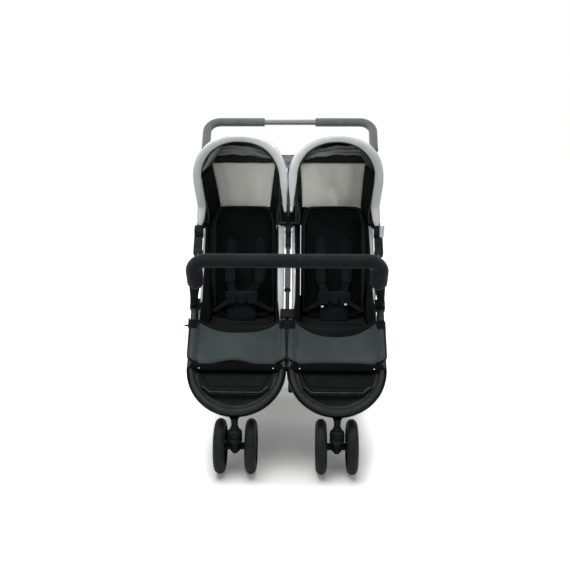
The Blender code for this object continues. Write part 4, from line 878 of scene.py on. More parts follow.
def plumped(pad, pressure, most):
    """The filling presses the cover outward, but no point moves further than most."""
    even = pad.modifiers.new("even", "REMESH")
    even.mode = "VOXEL"
    even.voxel_size = 0.005
    remade(pad)
    mesh = pad.data
    before = np.empty(len(mesh.vertices) * 3)
    mesh.vertices.foreach_get("co", before)
    filling = pad.modifiers.new("filling", "CLOTH")
    filling.settings.use_pressure = True
    filling.settings.uniform_pressure_force = pressure
    filling.settings.effector_weights.gravity = 0
    for moment in range(1, 21):
        bpy.context.scene.frame_set(moment)
    swollen = pad.evaluated_get(bpy.context.evaluated_depsgraph_get()).data
    after = np.empty(len(mesh.vertices) * 3)
    swollen.vertices.foreach_get("co", after)
    step = (after - before).reshape(-1, 3)
    reach = np.linalg.norm(step, axis=1, keepdims=True)
    step *= np.minimum(1.0, most / np.maximum(reach, 1e-9))
    pad.modifiers.remove(filling)
    mesh.vertices.foreach_set("co", before + step.ravel())
    mesh.update()
    bpy.context.scene.frame_set(1)
    return pad


def sewn(pad, depth_at):
    """Sewn lines pull the cover in. depth_at gives the depth for a place on the pad."""
    places = [vertex.co - vertex.normal * depth_at(vertex.co) for vertex in pad.data.vertices]
    for vertex, place in zip(pad.data.vertices, places):
        vertex.co = place
    pad.data.update()


def groove(distance, width):
    """1 on a line, fading to 0 beside it."""
    return math.exp(-(distance / width) ** 2)


def follows(piece):
    """The piece's placement is baked into its mesh."""
    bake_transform(piece)


def one_each(pattern, name, where):
    """The finished pattern for both seats, mirrored for the left one, at each seat's place."""
    made = {}
    for side, half in halves:
        mesh = pattern.data.copy()
        turn = Matrix.Diagonal((side, 1, 1, 1))
        mesh.transform(Matrix.Translation((side * seat_middle, 0, 0)) @ turn @ where)
        if side < 0:
            mesh.flip_normals()
        made[half] = bpy.data.objects.new(f"{name}_{half}", mesh)
        bpy.context.scene.collection.objects.link(made[half])
    bpy.data.objects.remove(pattern, do_unlink=True)
    return made


black_cloth = cloth_finish("black_cloth", (0.0060, 0.0078, 0.0080), (0.0034, 0.0046, 0.0048),
                           0.0013, 0.04)
black_lining = cloth_finish("black_lining", (0.0022, 0.0030, 0.0028), (0.0013, 0.0018, 0.0017),
                            0.0013, 0.015)
light_cloth = cloth_finish("light_cloth", (0.62, 0.63, 0.66), (0.56, 0.57, 0.60), 0.0011, 0.15,
                           0.85, 0.2)
edge_cord = cloth_finish("edge_cord", (0.0100, 0.0115, 0.0120), (0.0060, 0.0070, 0.0072), 0.0014,
                         0.08, 0.7, 0.05)

cushion = plumped(pad_shape("cushion", 0.1165, -0.160, 0.054, 0.030, 0.020, 0.005, black_cloth),
                  4.0, 0.006)
rounder(cushion)
sewn(cushion, lambda p: (0.0042 * (groove(p.y + 0.092, 0.0045) + groove(p.y + 0.020, 0.0045))
                         * (1 + 0.25 * math.sin(p.x * 420)) if p.z > -0.004 else 0.0)
     + 0.0007 * noise.noise(p * 42))
for half, pad in one_each(cushion, "seat_cushion", Matrix.Translation((0, 0, 0.3895))).items():
    belongs(pad, "front_frame")


def level_between(values, z):
    """A side panel's half width at a height, from its values at the panel heights."""
    table = list(zip(panel_heights, values))
    for (z1, v1), (z2, v2) in zip(table, table[1:]):
        if z <= z2:
            break
    return v1 + (v2 - v1) * min(max((z - z1) / (z2 - z1), 0.0), 1.0)


def panel_front(z):
    """Where a side panel's front edge stands: upright at the seat, then along the frame tube."""
    if z < 0.445:
        return -0.166 + 0.008 * (z - 0.386) / 0.059
    return 0.072 - (0.700 - z) / 1.11


back_foot_y, back_foot_z = 0.0723, 0.386


def back_line(z):
    """Where the seat back stands at a height."""
    return back_foot_y + (z - back_foot_z) * 0.298


panel_levels = [0.386 + 0.329 * i / 26 for i in range(27)]
panel_heights = (0.386, 0.445, 0.50, 0.58, 0.65, 0.715)

# Half widths of each side panel at those heights, at its front edge and behind it.
panel_edges = {
    ("left", -1): ((0.134, 0.131, 0.1262, 0.1270, 0.1290, 0.1300),
                   (0.1365, 0.1362, 0.1350, 0.1365, 0.1372, 0.1372)),
    ("left", 1): ((0.137, 0.134, 0.1265, 0.1235, 0.1260, 0.1240),
                  (0.140, 0.146, 0.1470, 0.1455, 0.1465, 0.1460)),
    ("right", -1): ((0.138, 0.141, 0.1340, 0.1325, 0.1360, 0.1380),
                    (0.140, 0.147, 0.1455, 0.1465, 0.1465, 0.1465)),
    ("right", 1): ((0.134, 0.133, 0.1275, 0.1240, 0.1230, 0.1210),
                   (0.1365, 0.1365, 0.1335, 0.1345, 0.1365, 0.1372)),
}

for side, half in halves:
    middle = side * seat_middle
    tub_rows = []
    for i in range(15):
        y = -0.1705 + 0.2325 * i / 14
        wide = 0.1355 - 0.012 * (1 - rise(y, -0.172, -0.130))
        row = []
        for dx, z in ((-1, 0.410), (-1, 0.392), (-1, 0.379), (-0.985, 0.373), (-0.94, 0.3698),
                      (-0.6, 0.3690), (-0.2, 0.3686), (0.2, 0.3686), (0.6, 0.3690), (0.94, 0.3698),
                      (0.985, 0.373), (1, 0.379), (1, 0.392), (1, 0.410)):
            row.append(Vector((middle + dx * wide, y, z + 0.003 * (1 - rise(y, -0.172, -0.140)))))
        tub_rows.append(row)
    tub = cloth_rows(f"seat_tub_{half}", tub_rows, black_cloth, 0.0022, offset=-1.0)
    belongs(tub, "front_frame", f"seat_pad_{half}")
    for way in (-1, 1):
        edges, outers = panel_edges[(half, way)]
        outside, inside = [], []
        for z in panel_levels:
            front, rear = panel_front(z), back_line(z) + 0.014
            near, far = level_between(edges, z), level_between(outers, z)
            cloth, lining = [], []
            for i in range(7):
                turn = math.pi / 2 * i / 6
                cloth.append((near + (far - near) * math.sin(turn),
                              front + 0.012 * (1 - math.cos(turn))))
            for i in range(1, 13):
                share = i / 12
                depth = front + 0.012 + (rear - front - 0.012) * share
                puff = 0.0012 * noise.noise(Vector((way * 3 + middle * 9, depth * 16, z * 16)))
                cloth.append((far + (0.1228 - far) * rise(share, 0.1, 0.95) + puff, depth))
            for i in range(13):
                share = i / 12
                lining.append((near + (0.1188 - near) * rise(share, 0.0, 0.45),
                               front + 0.0008 + (rear - 0.004 - front) * share))
            outside.append([Vector((middle + way * dx, y, z)) for dx, y in cloth])
            inside.append([Vector((middle + way * (dx - 0.0006), y, z)) for dx, y in lining])
        where = "outer" if way == side else "inner"
        panel = cloth_rows(f"side_panel_{half}_{where}", outside, light_cloth, 0.0012)
        lining = cloth_rows(f"side_lining_{half}_{where}", inside, black_lining, 0.0010)
        cord = bead_along(f"panel_cord_{half}_{where}",
                          [row[0] - Vector((way * 0.0006, 0.0006, 0)) for row in outside],
                          0.0019, edge_cord, 10)
        for piece, finish in ((panel, "light_grey_fabric"), (lining, "black_fabric")):
            follows(remade(piece))
        belongs(cord, "front_frame")


# Seat backs: a padded board cover with two side wings, in black. The pad on it is sewn into a
# head panel and a body panel, with a bolster along each side, and reclines with the board.

def tilted(slope, y, z):
    """A frame at (0, y, z) whose own Y points back and up at the slope."""
    return Matrix(((1, 0, 0, 0), (0, math.cos(slope), -math.sin(slope), y),
                   (0, math.sin(slope), math.cos(slope), z), (0, 0, 0, 1)))


back_frame = tilted(math.radians(73.4), back_foot_y, back_foot_z)


def soft_loft(name, sections, look):
    """A closed soft form through rings with equal numbers of points."""
    shape = bmesh.new()
    rings = [[shape.verts.new(point) for point in section] for section in sections]
    skinned(shape, rings)
    bmesh.ops.recalc_face_normals(shape, faces=shape.faces)
    return rounder(settled(name, shape, look, 80))


shell_rings = []
for i in range(18):
    share = i / 17
    run = 0.004 + 0.396 * share
    wide = 0.1163 - 0.016 * rise(share, 0.82, 1.0)
    wing = 0.012 + 0.088 * rise(share, 0.0, 0.35) * (1 - 0.70 * rise(share, 0.62, 1.0))
    low = -0.0145 if i else -0.009
    ring = [(-wide, wing - 0.005), (-wide, 0.0), (-wide, low + 0.006), (-wide + 0.005, low),
            (0, low - 0.001), (wide - 0.005, low), (wide, low + 0.006), (wide, 0.0),
            (wide, wing - 0.005), (wide - 0.003, wing), (wide - 0.009, wing),
            (wide - 0.0115, wing - 0.006), (wide - 0.012, 0.002), (wide - 0.016, -0.004),
            (0, -0.005), (-wide + 0.016, -0.004), (-wide + 0.012, 0.002),
            (-wide + 0.0115, wing - 0.006), (-wide + 0.009, wing), (-wide + 0.003, wing)]
    shell_rings.append([Vector((dx, run, depth)) for dx, depth in ring])
back_shell = soft_loft("back_shell", shell_rings, black_cloth)
for half, shell in one_each(back_shell, "seat_back_shell", back_frame).items():
    belongs(shell, f"back_{half}", f"seat_back_{half}")

back_pad = pad_shape("back_pad", 0.0985, 0.022, 0.389, 0.022, 0.014, 0.004, black_cloth)
rounder(plumped(back_pad, 4.0, 0.006))
sewn(back_pad, lambda p: ((0.0045 * groove(p.y - 0.333, 0.004) + 0.0036 * groove(p.y - 0.170, 0.004)
                           + 0.0036 * groove(abs(p.x) - 0.070, 0.004) * (1 if p.y < 0.333 else 0))
                          if p.z > 0 else 0.0) + 0.0007 * noise.noise(p * 40))
for half, pad in one_each(back_pad, "seat_back_pad",
                          back_frame @ Matrix.Translation((0, 0, 0.0045))).items():
    belongs(pad, f"back_{half}")


# Harness: two shoulder straps with comfort pads, a lap strap each side, and the padded centre
# strap that stands up from the seat with the buckle on it. All are sewn black webbing.

def strap_path(points):
    """A smooth line through a few points."""
    pieces = 8
    ends = [points[0] * 2 - points[1], *points, points[-1] * 2 - points[-2]]
    path = []
    for a, b, c, d in zip(ends, ends[1:], ends[2:], ends[3:]):
        for i in range(pieces):
            t = i / pieces
            path.append(0.5 * ((2 * b) + (c - a) * t + (2 * a - 5 * b + 4 * c - d) * t ** 2
                               + (3 * b - a - 3 * c + d) * t ** 3))
    return [*path, points[-1]]


def comfort_pad(name, path, face, width, thickness, look):
    """A flat pad round a strap, thinner at its stitched edges and ends."""
    rings = []
    for i, place in enumerate(path):
        along = heading(path, i)
        out = (face - along * face.dot(along)).normalized()
        across = along.cross(out)
        end = min(i, len(path) - 1 - i)
        wide = width / 2 * (0.80, 0.95, 1.0)[min(end, 2)]
        thick = thickness / 2 * (0.45, 0.85, 1.0)[min(end, 2)]
        rings.append([place + across * wide * a + out * thick * b for a, b in (
            (-1, 0), (-0.94, 0.35), (-0.80, 0.62), (-0.4, 1), (0, 1.08), (0.4, 1), (0.80, 0.62),
            (0.94, 0.35), (1, 0), (0.94, -0.35), (0.80, -0.62), (0, -1), (-0.80, -0.62),
            (-0.94, -0.35))])
    return soft_loft(name, rings, look)


harness_cloth = cloth_finish("harness_cloth", (0.0092, 0.0120, 0.0126), (0.0056, 0.0074, 0.0078),
                             0.0012, 0.05)
forward = Vector((0, -1, 0.25))
for side, half in halves:
    middle = side * seat_middle
    for way in (-1, 1):
        where = "outer" if way == side else "inner"
        spread = 0.060 if half == "left" and way == 1 else 0.046
        top = back_frame @ Vector((way * spread * 0.9, 0.312, 0.016)) + Vector((middle, 0, 0))
        line = strap_path([top, back_frame @ Vector((way * spread, 0.250, 0.022))
                           + Vector((middle, 0, 0)),
                           Vector((middle + way * spread, 0.082, 0.580)),
                           Vector((middle + way * spread * 0.98, 0.040, 0.530)),
                           Vector((middle + way * 0.034, -0.006, 0.506)),
                           Vector((middle + way * 0.020, -0.028, 0.494))])
        strap = tape_along(f"shoulder_strap_{half}_{where}", line, forward, 0.024, 0.0016,
                           black_webbing)
        follows(strap)
        pad = comfort_pad(f"shoulder_pad_{half}_{where}",
                          [p + Vector((0, -0.003, 0.001)) for p in line[4:27:2]],
                          forward, 0.036, 0.013, harness_cloth)
        follows(pad)
        lap = tape_along(f"lap_strap_{half}_{where}", strap_path([
            Vector((middle + way * 0.100, 0.052, 0.422)),
            Vector((middle + way * 0.096, 0.020, 0.428)),
            Vector((middle + way * 0.072, -0.022, 0.452)),
            Vector((middle + way * 0.046, -0.046, 0.474)),
            Vector((middle + way * 0.022, -0.050, 0.482))]), Vector((way * 0.3, -0.6, 0.75)),
                         0.024, 0.0016, black_webbing)
        belongs(lap, "front_frame")
    rings = []
    for share, wide, thick in ((0.0, 0.78, 0.7), (0.05, 0.84, 0.95), (0.16, 0.87, 1.0),
                               (0.30, 0.90, 1.0), (0.43, 0.93, 0.98), (0.47, 0.94, 0.72),
                               (0.51, 0.95, 0.98), (0.64, 0.99, 1.0), (0.78, 1.03, 1.0),
                               (0.90, 1.05, 0.95), (0.97, 1.03, 0.8), (1.0, 0.96, 0.45)):
        place = Vector((middle, -0.055 + 0.030 * share, 0.4085 + 0.0985 * share))
        rings.append([place + Vector((dx * wide * 0.0540, dy * thick * 0.0080, 0)) for dx, dy in (
            (-1, 0), (-0.96, -0.45), (-0.82, -0.85), (-0.4, -1.05), (0, -1.12), (0.4, -1.05),
            (0.82, -0.85), (0.96, -0.45), (1, 0), (0.96, 0.45), (0.82, 0.85), (0, 1.05),
            (-0.82, 0.85), (-0.96, 0.45))])
    centre_pad = soft_loft(f"centre_strap_pad_{half}", rings, harness_cloth)
    belongs(centre_pad, "front_frame", f"crotch_pad_{half}")
    buckle_rings = []
    for depth, size in ((0.0, 0.90), (0.003, 1.0), (0.008, 1.0), (0.0105, 0.88), (0.0112, 0.5)):
        buckle_rings.append([Vector((middle + 0.0185 * size * math.cos(a)
                                     * (1 - 0.16 * math.sin(a)),
                                     -0.0415 - depth, 0.486 + 0.023 * size * math.sin(a)))
                             for a in (2 * math.pi * k / 16 for k in range(16))])
    buckle = soft_loft(f"buckle_{half}", buckle_rings, black_nylon)
    belongs(buckle, "front_frame")
for number, (dx, z) in enumerate(((-0.0415, 0.463), (0.0375, 0.471))):
    ends = [Vector((seat_middle + dx - 0.0042, -0.0615, z)),
            Vector((seat_middle + dx + 0.0042, -0.0615, z + 0.001))]
    slider = tape_along(f"strap_slider_{number}", ends, Vector((0, -1, 0.3)), 0.0062, 0.0022,
                        rivet_steel)
    belongs(slider, "front_frame")


# Calf rests: a padded flap in front of each seat. Its cover starts as the seat's black nose,
# meets a coated slate panel at a sagging seam, and ends in a black corded hem with a soft fold.
# The black hem rises in an arch, most on the left flap, as painted shade under that fold.

slate_coat = cloth_finish("slate_coat", (0.052, 0.066, 0.070), (0.040, 0.052, 0.056), 0.0012, 0.12,
                          0.55, 0.35, 9)
calf_frame = tilted(math.radians(35), -0.1803, 0.381)
flap = plumped(pad_shape("flap", 0.1300, -0.1005, -0.002, 0.026, 0.011, 0.002, black_cloth), 4.0,
               0.004)
rounder(flap)
for half, pad in one_each(flap, "calf_pad", calf_frame).items():
    belongs(pad, f"calf_{half}", f"calf_rest_{half}")

cover_line = [(0.0, -0.142, 0.4100), (0.020, -0.162, 0.4085), (0.034, -0.1745, 0.4030),
              (0.046, -0.1835, 0.3950), (0.060, -0.1950, 0.3868), (0.105, -0.2319, 0.3610),
              (0.140, -0.2606, 0.3409), (0.156, -0.2737, 0.3317), (0.166, -0.2795, 0.3240),
              (0.174, -0.2770, 0.3170)]
cover_half = 0.1372


def cover_point(middle, dx, run, lift):
    """A place on the flap's cover: across it, down from the seat, and proud of it."""
    for (r1, y1, z1), (r2, y2, z2) in zip(cover_line, cover_line[1:]):
        if run <= r2:
            break
    share = (run - r1) / (r2 - r1)
    y, z = y1 + (y2 - y1) * share, z1 + (z2 - z1) * share
    slope = Vector((0, y2 - y1, z2 - z1)).normalized()
    out = Vector((0, slope.z, -slope.y))
    sides = abs(dx) / cover_half
    drawn_up = 0.031 * sides ** 3 * (1 - rise(run, 0.005, 0.085))
    return Vector((middle + dx, y, z + drawn_up)) + out * lift


def cover_bottom(dx):
    """How far the cover runs before its hem: shorter at the two round corners."""
    into = max(abs(dx) - 0.1060, 0) / 0.0312
    return 0.171 - 0.034 * (1 - math.sqrt(max(1 - into * into, 0)))


for side, half in halves:
    middle = side * seat_middle
    across = [-cover_half * math.cos(math.pi * i / 40) for i in range(41)]
    sag, rest = (0.017, 0.016) if half == "left" else (0.034, 0.014)
    nose, panel, hem = [], [], []

    def nose_end(dx):
        """How far the nose runs to its sagging seam."""
        return rest + sag * (1 - (dx / cover_half) ** 2)

    def hem_shade_arch(dx):
        """How far the panel's lower edge is drawn up, so the black hem below rises as painted
        shade.
        """
        high = 0.020 * math.exp(-((dx + 0.012) / 0.062) ** 2) if half == "left" else 0.010
        return high * (1 - (dx / cover_half) ** 4)

    for i in range(13):
        share = i / 12
        nose.append([cover_point(middle, dx, nose_end(dx) * share,
                                 0.0008 + 0.0010
                                 * noise.noise(Vector((dx * 22, share * 2, side * 5))))
                     for dx in across])
    for i in range(27):
        share = i / 26
        row = []
        for dx in across:
            start = nose_end(dx)
            end = cover_bottom(dx) - 0.009 - hem_shade_arch(dx)
            full = math.sin(math.pi * min(share * 1.02, 1)) ** 0.6
            crease = noise.noise(Vector((dx * 16, share * 3.2 + side * 7, 2))) * 0.0021
            crease += noise.noise(Vector((dx * 40, share * 7, side * 3))) * 0.0008
            lift = 0.0014 + 0.0046 * full + crease * full
            lift += 0.0030 * math.exp(-((share - 0.90) / 0.06) ** 2)
            row.append(cover_point(middle, dx, start + (end - start) * share, lift))
        panel.append(row)
    for i in range(7):
        share = i / 6
        row = []
        for dx in across:
            start = cover_bottom(dx) - 0.0095 - hem_shade_arch(dx)
            row.append(cover_point(middle, dx, start + (cover_bottom(dx) - start) * share,
                                   -0.0012 + 0.0016 * share))
        hem.append(row)
    seam_line = [p + Vector((0, -0.0008, 0.0012)) for p in nose[-1]]
    pieces = [(cloth_rows(f"calf_nose_{half}", nose, black_cloth, 0.0014), "black_fabric"),
              (cloth_rows(f"calf_panel_{half}", panel, slate_coat, 0.0014), "slate_fabric"),
              (cloth_rows(f"calf_hem_{half}", hem, black_lining, 0.0012), "black_fabric"),
              (bead_along(f"calf_seam_{half}", seam_line, 0.0012, edge_cord), "black_fabric"),
              (bead_along(f"calf_cord_{half}", hem[-1], 0.0021, edge_cord, 10), "black_fabric")]
    for piece, finish in pieces:
        follows(remade(piece))
    for way in (-1, 1):
        where = "outer" if way == side else "inner"
        edge, wrap_parts = [], []
        proud = (on_front(0, 1) - on_front(0)) * 0.0016
        for name, look, finish, first, last, tube_first, tube_last in (
                ("nose", black_cloth, "black_fabric", 0.0, 0.0162, 0.343, 0.373),
                ("side", slate_coat, "slate_fabric", 0.0158, 0.1500, 0.372, 0.487)):
            rows = []
            for i in range(23):
                share = i / 22
                inside = cover_point(middle, way * 0.1300, first + (last - first) * share, 0.0050)
                tube_run = tube_first + (tube_last - tube_first) * share
                front = on_front(tube_run, 0.0152, middle + way * 0.1425)
                around = on_front(tube_run, 0.0020, middle + way * 0.1622)
                narrow = 1.0
                if name == "side" and share > 0.76:
                    narrow = 0.25 + 0.75 * math.sqrt(max(1 - ((share - 0.76) / 0.24) ** 2, 0))
                beside = on_front(tube_run, 0.0075, middle + way * 0.1362)
                crest = on_front(tube_run, 0.0152, middle + way * 0.1555)
                line = smooth_path([inside, beside, front, crest, around], 0.003, 4, 0.004)
                lengths = [0.0]
                for p, q in zip(line, line[1:]):
                    lengths.append(lengths[-1] + (q - p).length)
                row = []
                for k in range(13):
                    reach = lengths[-1] * narrow * k / 12
                    j = max(n for n in range(len(line) - 1) if lengths[n] <= reach + 1e-9)
                    row.append(line[j].lerp(line[j + 1],
                                            (reach - lengths[j]) / (lengths[j + 1] - lengths[j])))
                rows.append(row)
            wrap = cloth_rows(f"calf_{name}_{half}_{where}", rows, look, 0.0013)
            wrap_parts.append((wrap, finish))
            edge += [row[10] + proud for row in rows]
            if name == "nose":
                wrap_seam = bead_along(f"calf_side_seam_{half}_{where}",
                                       [p + Vector((0, -0.0008, 0.0010)) for p in rows[-1]],
                                       0.0012, edge_cord)
                wrap_parts.append((wrap_seam, "black_fabric"))
        edge += [rows[-1][k] + proud for k in range(9, -1, -1)]
        apart = [p for p, q in zip(edge, [None, *edge]) if q is None or (p - q).length > 0.0008]
        wrap_cord = bead_along(f"calf_side_cord_{half}_{where}", apart, 0.0022, edge_cord, 10)
        wrap_parts.append((wrap_cord, "black_fabric"))
        for piece, finish in wrap_parts:
            follows(remade(piece))
    # A black strip over the top of each shield, under the calf rest's hem, is painted shade.
    shade_strip_rows = [[on_front(0.4960 + 0.0215 * i / 5, 0.0120 + 0.0022 * math.sin(math.pi * i / 5),
                            middle + 0.1475 * k / 20) for k in range(-20, 21)] for i in range(6)]
    shield_shade_strip = cloth_rows(f"shield_shade_strip_{half}", shade_strip_rows, black_lining, 0.0020)
    belongs(shield_shade_strip, "front_frame")


# Cloth tucked in between each seat and its back, on both sides.
for side, half in halves:
    middle = side * seat_middle
    for way in (-1, 1):
        rows = [[Vector((middle + way * (0.0980 + 0.0450 * k / 8 - 0.008 * (i / 8) * (k / 8)),
                         0.0760 + 0.008 * k / 8 + 0.012 * i / 8 + 0.002 * math.sin(i + k),
                         0.365 + 0.095 * i / 8))
                 for k in range(9)] for i in range(9)]
        tuck = cloth_rows(f"seat_tuck_{half}_{'outer' if way == side else 'inner'}", rows,
                          black_lining, 0.0010)
        follows(remade(tuck))


# Bumper bar: a steel core in a thick soft foam cover, swollen at its two corners, with a seam
# underneath. At each end a tapered ribbed sleeve leads down to the eye on the clamp.

cover_foam = cloth_finish("cover_foam", (0.0098, 0.0135, 0.0140), (0.0064, 0.0090, 0.0094), 0.0010,
                          0.15, 0.7, 0.12, 30)
sleeve_cloth = cloth_finish("sleeve_cloth", (0.0055, 0.0070, 0.0070), (0.0030, 0.0040, 0.0040),
                            0.0014, 0.04, 0.8, 0.3)
clamp_run, clamp_ahead = 0.284, 0.026
bar_foot = on_front(clamp_run, clamp_ahead)
bar_top = Vector((0, -0.248, 0.667))


def on_arm(share, x):
    """A point up the bar's side arm, from the clamp to the top."""
    return bar_foot.lerp(bar_top, share) + Vector((x, 0, 0))


bend_path = smooth_path([on_arm(0.40, -0.2975), on_arm(1, -0.2975), on_arm(1, 0.2975),
                         on_arm(0.40, 0.2975)], 0.045, spacing=0.012)
bar_sizes = []
for place in bend_path:
    down = (bar_top.z - place.z) / (bar_top.z - bar_foot.z)
    swell = rise(down, 0.03, 0.22)
    tip = 1 - 0.30 * rise(down, 0.50, 0.60) ** 2
    ripple = 0.0005 * noise.noise(place * 22)
    bar_sizes.append(((0.0225 + 0.0045 * swell + ripple) * tip,
                      (0.0225 + 0.0015 * swell + ripple) * tip))
bar_path = [p - Vector((math.copysign(0.0030, p.x) * rise((bar_top.z - p.z) / 0.16, 0.03, 0.22), 0,
                        0)) for p in bend_path]
bar_rings = [bar_path[0] + (bar_path[0] - bar_path[1]).normalized() * 0.004, *bar_path,
             bar_path[-1] + (bar_path[-1] - bar_path[-2]).normalized() * 0.004]
bar_cover = sleeve_along("bumper_cover", bar_rings, [(0.011, 0.011), *bar_sizes, (0.011, 0.011)],
                         cover_foam, 36, first_up=straight_ahead)
belongs(bar_cover, "bumper", "bumper_bar")
under_seam = bead_along("bumper_seam", [p + Vector((0, 0.0030, -0.0222)) for p in bar_path
                                        if abs(p.z - bar_top.z) < 1e-4], 0.0009, edge_cord)
belongs(under_seam, "bumper")
for side, half in halves:
    run = [on_arm(0.03 + 0.45 * i / 26, side * (0.3075 - 0.010 * i / 26)) for i in range(27)]
    sizes = [(0.0122 + 0.0052 * rise(i / 26, 0, 1) + 0.0006 * math.sin(i * 1.9),
              0.0116 + 0.0046 * rise(i / 26, 0, 1) + 0.0006 * math.sin(i * 1.9)) for i in range(27)]
    sleeve = sleeve_along(f"bumper_sleeve_{half}", run, sizes, sleeve_cloth, 28,
                          first_up=straight_ahead)
    belongs(sleeve, "bumper")
    eye_disc = turned_piece(f"bumper_eye_{half}", [
        (0, 0.0108), (0.0045, 0.0108), (0.0052, 0.0098), (0.0092, 0.0098), (0.0112, 0.0084),
        (0.0118, 0.0060), (0.0118, -0.0060), (0.0112, -0.0084), (0.0092, -0.0098),
        (0, -0.0098)], black_nylon,
        (side * 0.3074, bar_foot.y, bar_foot.z), (side, 0, 0), 32)
    belongs(eye_disc, "bumper")
    rivet(f"bumper_pin_{half}", on_front(clamp_run, clamp_ahead, side * 0.2862), (-side, 0, 0),
          0.0042, "front_frame")

post_foam = foam("post_foam", (0.062, 0.078, 0.080), (0.048, 0.061, 0.063), 900)
post_run = [on_front(0.108 + 0.114 * i / 12) for i in range(13)]
post_sleeve = sleeve_along("post_sleeve", post_run,
                           [(0.0092, 0.0092), *[(0.0102, 0.0102)] * 11, (0.0092, 0.0092)],
                           post_foam, 20, first_up=straight_ahead)
belongs(post_sleeve, "front_frame")
post_ring = sleeve_along("post_ring", [on_front(0.2215 + 0.010 * i / 4) for i in range(5)],
                         [(0.0100, 0.0100), (0.0112, 0.0112), (0.0112, 0.0112), (0.0112, 0.0112),
                          (0.0098, 0.0098)], black_nylon, 20, first_up=straight_ahead)
belongs(post_ring, "front_frame")


# Canopies: pale grey cloth over two steel bows that turn just above the fold hinge. Each has a
# wide padded hem in front, black side linings, and a warm grey drop panel inside, coloured
# lighter than its cloth as painted light for the light through the hood.

pivot_y, pivot_z = 0.07925, 0.72729
front_angle, middle_angle, rear_angle = math.radians(118), math.radians(90), math.radians(62)


def bow_shape(share, half_width, reach, inner=0):
    """Across a bow from one foot (-1) over the top (0) to the other (1): width and run.

    inner is the sign of the side next to the other seat, where the shoulder is fuller.
    """
    foot, shoulder = 0.070, reach * 0.52
    way = 1 if share >= 0 else -1
    square = 0.89 if way == inner else 0.94
    if abs(share) > 0.64:
        along = (1 - abs(share)) / 0.36
        return (way * half_width * (0.965 + 0.035 * rise(along, 0, 1)),
                foot + (shoulder - foot) * along)
    turn = abs(share) / 0.64 * math.pi / 2
    return (way * half_width * math.sin(turn) ** square,
            shoulder + (reach - shoulder) * math.cos(turn) ** square)


def canopy_measures(angle):
    """Half width and reach of the cloth where it crosses an angle round the pivot."""
    if angle > middle_angle:
        share = rise(angle, middle_angle, front_angle)
        return 0.146, 0.313 + 0.036 * share
    share = rise(-angle, -middle_angle, -rear_angle)
    return 0.146 - 0.012 * share, 0.313 - 0.004 * share


def canopy_point(middle, dx, run, angle):
    """A point at a reach and an angle round the hood's pivot."""
    return Vector((middle + dx, pivot_y + run * math.cos(angle), pivot_z + run * math.sin(angle)))


canopy_cloth = cloth_finish("canopy_cloth", (0.64, 0.65, 0.69), (0.58, 0.59, 0.63), 0.0010, 0.15,
                            0.85, 0.18, 12)
hem_cloth = cloth_finish("hem_cloth", (0.72, 0.73, 0.76), (0.66, 0.67, 0.70), 0.0010, 0.2, 0.85,
                         0.15, 12)
roof_lining = cloth_finish("roof_lining", (0.150, 0.155, 0.155), (0.115, 0.120, 0.120), 0.0012,
                           0.15, 0.85, 0.7, 9)
# The drop panel is coloured lighter than the hood's own grey cloth: painted light for the light
# through the hood.
warm_panel_painted_light = cloth_finish("warm_panel_painted_light", (0.80, 0.80, 0.745), (0.74, 0.74, 0.69), 0.0013, 0.05,
                          0.88, 0.5, 8)
pleat_cloth = cloth_finish("pleat_cloth", (0.42, 0.43, 0.43), (0.34, 0.35, 0.35), 0.0012, 0.05,
                           0.88, 0.5, 8)
band_cloth = cloth_finish("band_cloth", (0.022, 0.025, 0.024), (0.014, 0.017, 0.016), 0.0012, 0.05)
window_mesh = cloth_finish("window_mesh", (0.70, 0.70, 0.72), (0.62, 0.62, 0.64), 0.0022, 0.05, 0.9)
finish_nodes(black_coat, "canopy_front_bow_left", "canopy_front_bow_right",
             "canopy_middle_bow_left", "canopy_middle_bow_right")

# Half widths of each drop panel at its top and bottom, for its outer and inner edge.
drop_widths = {"left": ((0.1175, 0.0890), (0.1165, 0.0910)),
               "right": ((0.1145, 0.1015), (0.1235, 0.1117))}


def between_bows(piece):
    """Cloth between the hood's front bow and the handle frame, with its modifiers and placement
    baked in.
    """
    follows(remade(piece))


